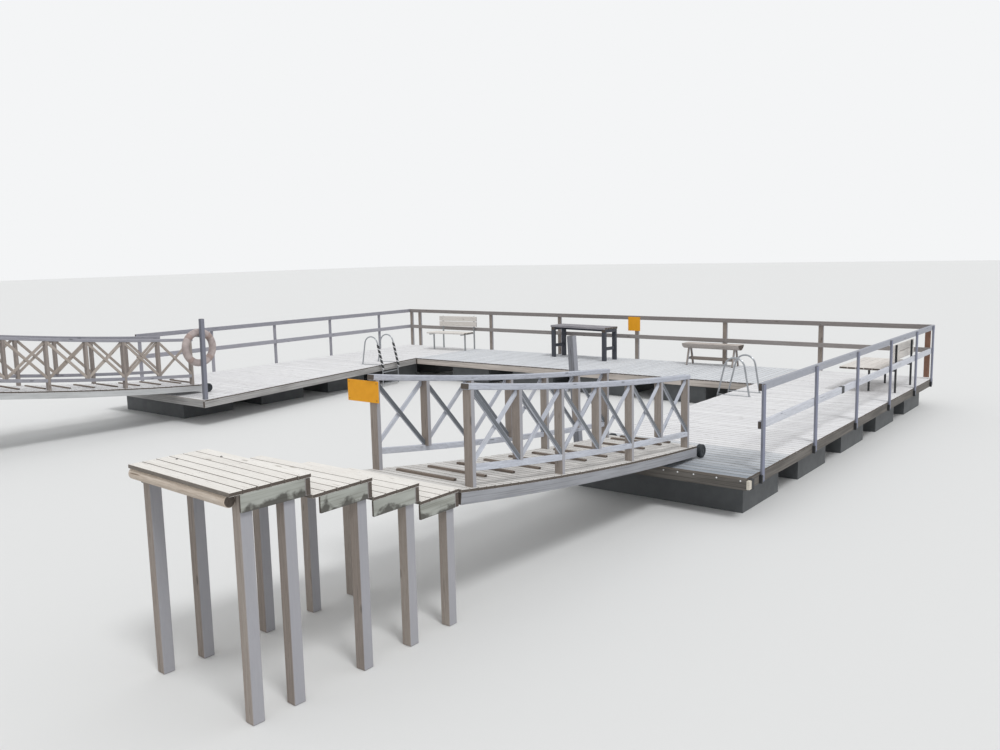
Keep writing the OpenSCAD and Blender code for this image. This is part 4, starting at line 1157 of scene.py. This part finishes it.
def table():
    """A plain table of five planks on H shaped ends, stained dark; the top has worn pale."""
    low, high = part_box("table")
    wood = Planks(120, spot((low[0] + high[0]) / 2, (low[1] + high[1]) / 2, TABLE_TURN))
    under = TABLE_H - TABLE_T
    pitch = TABLE_W / TABLE_PLANKS
    for i in range(TABLE_PLANKS):
        y = -TABLE_W / 2 + i * pitch
        wood.beam(Vector((-TABLE_L / 2, y + TABLE_GAP / 2, under)),
                  Vector((TABLE_L / 2, y + pitch - TABLE_GAP / 2, TABLE_H)), tone=0)
    wide, thin = TABLE_LEG_W / 2, TABLE_LEG_T / 2
    end, side = TABLE_L / 2 - wide, TABLE_W / 2 - TABLE_LEG_IN
    head = under - TABLE_HEAD_H
    for x in (-end, end):
        for y in (-side, side):
            wood.beam(Vector((x - wide, y - thin, 0)), Vector((x + wide, y + thin, head)), tone=1)
        wood.beam(Vector((x - thin, -side + thin, TABLE_BAR[0])),
                  Vector((x + thin, side - thin, TABLE_BAR[1])), tone=1)
        wood.beam(Vector((x - wide, -side - thin, head + MM)),
                  Vector((x + wide, side + thin, under - MM)), tone=1)
    wood.beam(Vector((-end + wide + MM, side, under - TABLE_APRON_H)),
              Vector((end - wide - MM, side + thin, under - MM)), tone=1)
    wood.piece("table_planks", dark_table, "table")


table()


# The log bench: its seat is what is left of a round log below a flat cut, which lies LOG_CUT under the
# log's middle. Bars join the legs of each end, and a rail on edge joins the bars

LOG_L = 1.290
LOG_H = 0.470
LOG_R = 0.160
LOG_CUT = 45 * MM
LOG_LEG_R = 23 * MM
LOG_LEG_IN = 125 * MM
LOG_LEG_Y = 40 * MM
LOG_LEG_TOP = LOG_H - 70 * MM
LOG_LEG_FOOT = 4 * MM
LOG_SPLAY = math.radians(16)
LOG_BAR_T = 36 * MM
LOG_BAR_REACH = 100 * MM
LOG_BAR_Z = (120 * MM, 165 * MM)
LOG_RAIL_T = 26 * MM
LOG_RAIL_Z = (106 * MM, 179 * MM)


def log_bench():
    """The outer slab of a log, flat side up, on four splayed round legs with a plank between them."""
    low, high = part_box("log_bench")
    place = spot((low[0] + high[0]) / 2, (low[1] + high[1]) / 2)
    wood, seat = Planks(130, place), Planks(131, place)
    half = math.acos(LOG_CUT / LOG_R)
    arc = [math.pi * 1.5 - half + 2 * half * k / 16 for k in range(17)]
    section = [(LOG_R * math.cos(a), LOG_CUT + LOG_R * math.sin(a)) for a in arc]
    seat.sweep([Vector((x, 0, LOG_H)) for x in (-LOG_L / 2, 0, LOG_L / 2)], Y, section)
    seat.piece("log_bench_seat", split_log, "log_bench")
    leg_x = LOG_L / 2 - LOG_LEG_IN
    foot_y = LOG_LEG_Y + (LOG_LEG_TOP - LOG_LEG_FOOT) * math.tan(LOG_SPLAY)
    bar, rail = LOG_BAR_T / 2, LOG_RAIL_T / 2
    for x in (-leg_x, leg_x):
        for sign in (-1, 1):
            top = Vector((x, sign * LOG_LEG_Y, LOG_LEG_TOP))
            foot = Vector((x, sign * foot_y, LOG_LEG_FOOT))
            wood.sweep([foot, (foot + top) / 2, top], X, round_section(LOG_LEG_R, 14))
        wood.beam(Vector((x - bar, -LOG_BAR_REACH, LOG_BAR_Z[0])),
                  Vector((x + bar, LOG_BAR_REACH, LOG_BAR_Z[1])))
    wood.beam(Vector((-leg_x + bar, -rail, LOG_RAIL_Z[0])), Vector((leg_x - bar, rail, LOG_RAIL_Z[1])))
    wood.piece("log_bench_legs", brown_posts, None, "jetty", slot="log")


log_bench()


# The slatted benches, with y towards the back: the seat from its front up to SEAT_TO, the back's face,
# slats and bolts above the seat's top, and the legs of square tube

SLAT_T = 35 * MM
SEAT_TO = 0.124
SEAT_PLANK = 0.145
SEAT_GAP = 7 * MM
BACK_AT = 0.315
BACK_SLATS = (0.120, 0.260)
BACK_SLAT_H = 0.125
BACK_SLAT_T = 25 * MM
BACK_BOLT_UP = 62 * MM
BACK_H = 0.390
TUBE_HALF = 15 * MM
FRONT_LEG = (-0.130, -0.100)
BEARER_IN = 10 * MM


def bench(name, place, length, leg_x, tall, front, steel_finish, slot, seed):
    """A plank seat and a slatted back on square steel legs, with its back towards +Y."""
    wood, steel = Planks(seed, place), Metal()
    planks = round((SEAT_TO - front) / SEAT_PLANK)
    pitch = (SEAT_TO - front + SEAT_GAP) / planks
    back_face, under = BACK_AT - TUBE_HALF, tall - SLAT_T
    tube_foot = under - 2 * TUBE_HALF
    for i in range(planks):
        y = front + i * pitch
        wood.beam(Vector((-length / 2, y, under)), Vector((length / 2, y + pitch - SEAT_GAP, tall)))
    for z in BACK_SLATS:
        wood.beam(Vector((-length / 2, back_face - BACK_SLAT_T, tall + z)),
                  Vector((length / 2, back_face, tall + z + BACK_SLAT_H)))
    wood.piece(name + "_slats", seat_wood, name)
    for x in (-leg_x, leg_x):
        left, right = x - TUBE_HALF, x + TUBE_HALF
        steel.box(Vector((left, FRONT_LEG[0], 0)), Vector((right, FRONT_LEG[1], tube_foot)))
        steel.box(Vector((left, back_face, 0)), Vector((right, BACK_AT + TUBE_HALF, tall + BACK_H)))
        steel.box(Vector((left, front + BEARER_IN, tube_foot)), Vector((right, back_face, under)))
        for z in BACK_SLATS:
            at = Vector((x, back_face - BACK_SLAT_T, tall + z + BACK_BOLT_UP))
            steel.head(at, -Y, *SLAT_BOLT)
    obj = steel.piece(name + "_steel", steel_finish, "jetty", slot)
    for vert in obj.data.vertices:
        vert.co = place @ vert.co


bench("back_bench", spot(l_low[0] + 1.920, b_high[1] - 0.440, 5), length=1.200, leg_x=0.500, tall=0.470,
      front=-0.310, steel_finish=galvanised, slot="galvanised", seed=140)
bench("side_bench", spot(r_high[0] - 0.450, r_low[1] + 7.250, -90), length=1.500, leg_x=0.520, tall=0.430,
      front=-0.550, steel_finish=black_steel, slot="black_steel", seed=150)


# Posts that lean

RING_POST_IN = 60 * MM
RING_POST_W = 72 * MM
RING_POST_L = 1.459
RING_POST_LEAN = 1.5
PLAIN_POST_W = 90 * MM
PLAIN_POST_L = 1.553
PLAIN_POST_LEAN = -3.6


def leaning_post(name, node, foot, width, length, degrees, material, seed):
    """A square post that leans towards +X, or towards -X where degrees is negative."""
    lean = math.radians(degrees)
    direction = Vector((math.sin(lean), 0, math.cos(lean)))
    wood = Planks(seed)
    wood.plank([foot, foot + direction * length / 2, foot + direction * length], Y, width, width)
    return wood.piece(name, material, node)


def ring_post():
    """The life ring's post near the left arm's inner corner. Returns the middle of its foot."""
    low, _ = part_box("life_ring_post")
    foot = Vector((l_high[0] - RING_POST_IN, l_low[1] + RING_POST_IN, low[2] + MM))
    leaning_post("life_ring_post_timber", "life_ring_post", foot, RING_POST_W, RING_POST_L,
                 RING_POST_LEAN, blue_grey_post, 160)
    return foot


ring_foot = ring_post()


# The life ring hangs on a peg through its post. Each of its four bands spans six steps of angle

RING_BODY = 128 * MM
PEG_R = 13 * MM
PEG_BACK = 25 * MM
PEG_PAST = 75 * MM
BAND_T = 1.5 * MM
BAND_STEP = 0.045


def ring_peg():
    """A round peg whose top carries the ring's inner edge."""
    low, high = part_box("life_ring")
    peg = Metal()
    at = Vector((low[0] - PEG_BACK, ring_foot.y, high[2] - RING_BODY - PEG_R - 0.5 * MM))
    peg.turned(at, X, [(0, PEG_R - MM), (2 * MM, PEG_R), (RING_BODY + PEG_PAST, PEG_R)], sides=16)
    peg.piece("life_ring_peg", galvanised, "jetty", "galvanised")


def ring_bands():
    """Four bands wrapped round the ring's body, halfway between its top, bottom and sides."""
    low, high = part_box("life_ring")
    centre = (Vector(low) + Vector(high)) / 2
    radius = (high[2] - low[2] - RING_BODY) / 2
    out = RING_BODY / 2 + BAND_T
    sides = 20
    bands = Metal()
    for quarter in range(4):
        middle = math.pi / 4 + quarter * math.pi / 2
        rings = []
        for k in range(-3, 4):
            angle = middle + k * BAND_STEP
            spoke = Vector((0, math.cos(angle), math.sin(angle)))
            ring = []
            for j in range(sides):
                turn = 2 * math.pi * j / sides
                reach = spoke * (radius + out * math.cos(turn)) + X * out * math.sin(turn)
                ring.append(bands.mesh.verts.new(centre + reach))
            rings.append(ring)
        for a, b in zip(rings, rings[1:]):
            for j in range(sides):
                bands.mesh.faces.new((a[j], b[j], b[(j + 1) % sides], a[(j + 1) % sides]))
        bands.mesh.faces.new(rings[0])
        bands.mesh.faces.new(rings[-1][::-1])
    bmesh.ops.recalc_face_normals(bands.mesh, faces=bands.mesh.faces)
    bands.piece("life_ring_bands", ring_band, "jetty", "ring", smooth=True)


ring_peg()
ring_bands()


def plain_post():
    """The lowest corner of the leaning post touches the deck."""
    low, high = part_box("plain_post")
    lean, half = math.radians(-PLAIN_POST_LEAN), PLAIN_POST_W / 2
    foot = Vector((high[0] - half * math.cos(lean), (low[1] + high[1]) / 2, low[2] + half * math.sin(lean)))
    leaning_post("plain_post_timber", "plain_post", foot, PLAIN_POST_W, PLAIN_POST_L, PLAIN_POST_LEAN,
                 plain_grey_post, 170)


plain_post()


# Black and white tape winds round the water legs of the left ladder, once in TAPE_TURN metres. The
# legs' place repeats the CAD: along the deck's edge, out from it and slanted

TAPE_R = 28 * MM
TAPE_TURN = 0.115
BLACK_SHARE = 0.77
TAPE_FROM = -95 * MM
LADDER_FROM_NEAR = 5.445
LADDER_W = 0.600
WATER_LEG_OUT = 0.0815
WATER_LEG_SLANT = math.radians(13.5)


def ladder_tape():
    """A sleeve in a spiral of two colours, from under the deck's edge up to where the leg starts to bend."""
    y = l_low[1] + LADDER_FROM_NEAR
    turn = -math.atan(flare)
    outward = Vector((math.cos(turn), math.sin(turn), 0))
    along = Vector((-math.sin(turn), math.cos(turn), 0))
    up = Z * math.cos(WATER_LEG_SLANT) - outward * math.sin(WATER_LEG_SLANT)
    base = Vector((left_edge(y), y, DECK_Z)) + outward * WATER_LEG_OUT
    sides, rings, rise = 16, 49, 11.8 * MM
    for name, dark, material in (("black", True, black_tape), ("white", False, white_tape)):
        sleeve = Metal()
        for sign in (-1, 1):
            foot = base + along * (sign * LADDER_W / 2) + up * TAPE_FROM
            verts = []
            for ring in range(rings + 1):
                verts.append([])
                for k in range(sides):
                    angle = 2 * math.pi * k / sides
                    reach = outward * math.cos(angle) + along * math.sin(angle)
                    verts[-1].append(sleeve.mesh.verts.new(foot + up * (ring * rise) + reach * TAPE_R))
            for ring in range(rings):
                for k in range(sides):
                    wound = (ring * rise / TAPE_TURN + k / sides) % 1
                    if (wound < BLACK_SHARE) == dark:
                        sleeve.mesh.faces.new((verts[ring][k], verts[ring][(k + 1) % sides],
                                               verts[ring + 1][(k + 1) % sides], verts[ring + 1][k]))
        loose = [vert for vert in sleeve.mesh.verts if not vert.link_faces]
        bmesh.ops.delete(sleeve.mesh, geom=loose, context="VERTS")
        sleeve.piece("left_ladder_tape_" + name, material, "jetty", "stainless", smooth=False)


ladder_tape()


# CAD nodes whose shape is right take their finish here

def finish(node, material):
    obj = frame["nodes"][node]
    obj.data.materials.clear()
    obj.data.materials.append(material)


# The floats are dark grey, painted shade under the decks
for arm in ("right", "back", "left"):
    finish(arm + "_floats", shaded_float)
for side in ("right", "left"):
    finish(side + "_wheel_brackets", galvanised)
    finish(side + "_hinge_lugs", galvanised)
    finish(side + "_ladder", stainless)
finish("life_ring", faded_ring)
finish("post_shoes", black_steel)
finish("back_plate", sign_enamel)
finish("gangway_plate", sign_enamel)


# Four screws hold each plate

SCREW_IN = 20 * MM


def plate_screws(node):
    low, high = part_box(node)
    screws = Metal()
    for x in (low[0] + SCREW_IN, high[0] - SCREW_IN):
        for z in (low[2] + SCREW_IN, high[2] - SCREW_IN):
            screws.head(Vector((x, low[1], z)), -Y, *PLATE_SCREW)
    screws.piece(node + "_screws", black_steel, BODY_OF[node], "black_steel", smooth=True)


for node in ("back_plate", "gangway_plate"):
    plate_screws(node)


# Studio: a pale floor, an even sky, and one wide soft sun, high behind the camera's right shoulder

FLOOR_GAP = 2 * MM
FLOOR_SIZE = 300
SKY_STRENGTH = 0.75
SUN_STRENGTH = 1.25
SUN_WIDTH = math.radians(16)
SUN_TOWARDS = Vector((-0.5, 0.2, -0.84))


def studio():
    bpy.ops.mesh.primitive_plane_add(size=FLOOR_SIZE, location=(0, 0, -FLOOR_GAP))
    floor = bpy.context.object
    floor.name = "studio_floor"
    material, _, shader = new_material("pale_floor")
    shader.inputs["Base Color"].default_value = tint("#dcdddd")
    shader.inputs["Roughness"].default_value = 0.9
    floor.data.materials.append(material)

    world = bpy.data.worlds.new("studio_sky")
    bpy.context.scene.world = world
    world.use_nodes = True
    tree = world.node_tree
    tree.nodes.clear()
    path = add(tree, "ShaderNodeLightPath")
    seen = add(tree, "ShaderNodeMath", {0: path.outputs["Is Camera Ray"], 1: path.outputs["Is Glossy Ray"]},
               operation="MAXIMUM")
    seen = add(tree, "ShaderNodeMath", {0: seen.outputs[0], 1: path.outputs["Is Transmission Ray"]},
               operation="MAXIMUM")
    light = add(tree, "ShaderNodeBackground", {"Color": tint("#ffffff"), "Strength": SKY_STRENGTH})
    backdrop = add(tree, "ShaderNodeBackground", {"Color": tint("#f4f5f6"), "Strength": 1.0})
    mixed = add(tree, "ShaderNodeMixShader", {0: seen.outputs[0], 1: light.outputs[0],
                                              2: backdrop.outputs[0]})
    add(tree, "ShaderNodeOutputWorld", {"Surface": mixed.outputs[0]})

    sun = bpy.data.lights.new("soft_sun", "SUN")
    sun.energy = SUN_STRENGTH
    sun.angle = SUN_WIDTH
    lamp = bpy.data.objects.new("soft_sun", sun)
    lamp.rotation_euler = SUN_TOWARDS.to_track_quat("-Z", "Y").to_euler()
    bpy.context.scene.collection.objects.link(lamp)
    bpy.context.scene.view_settings.view_transform = "Standard"


studio()
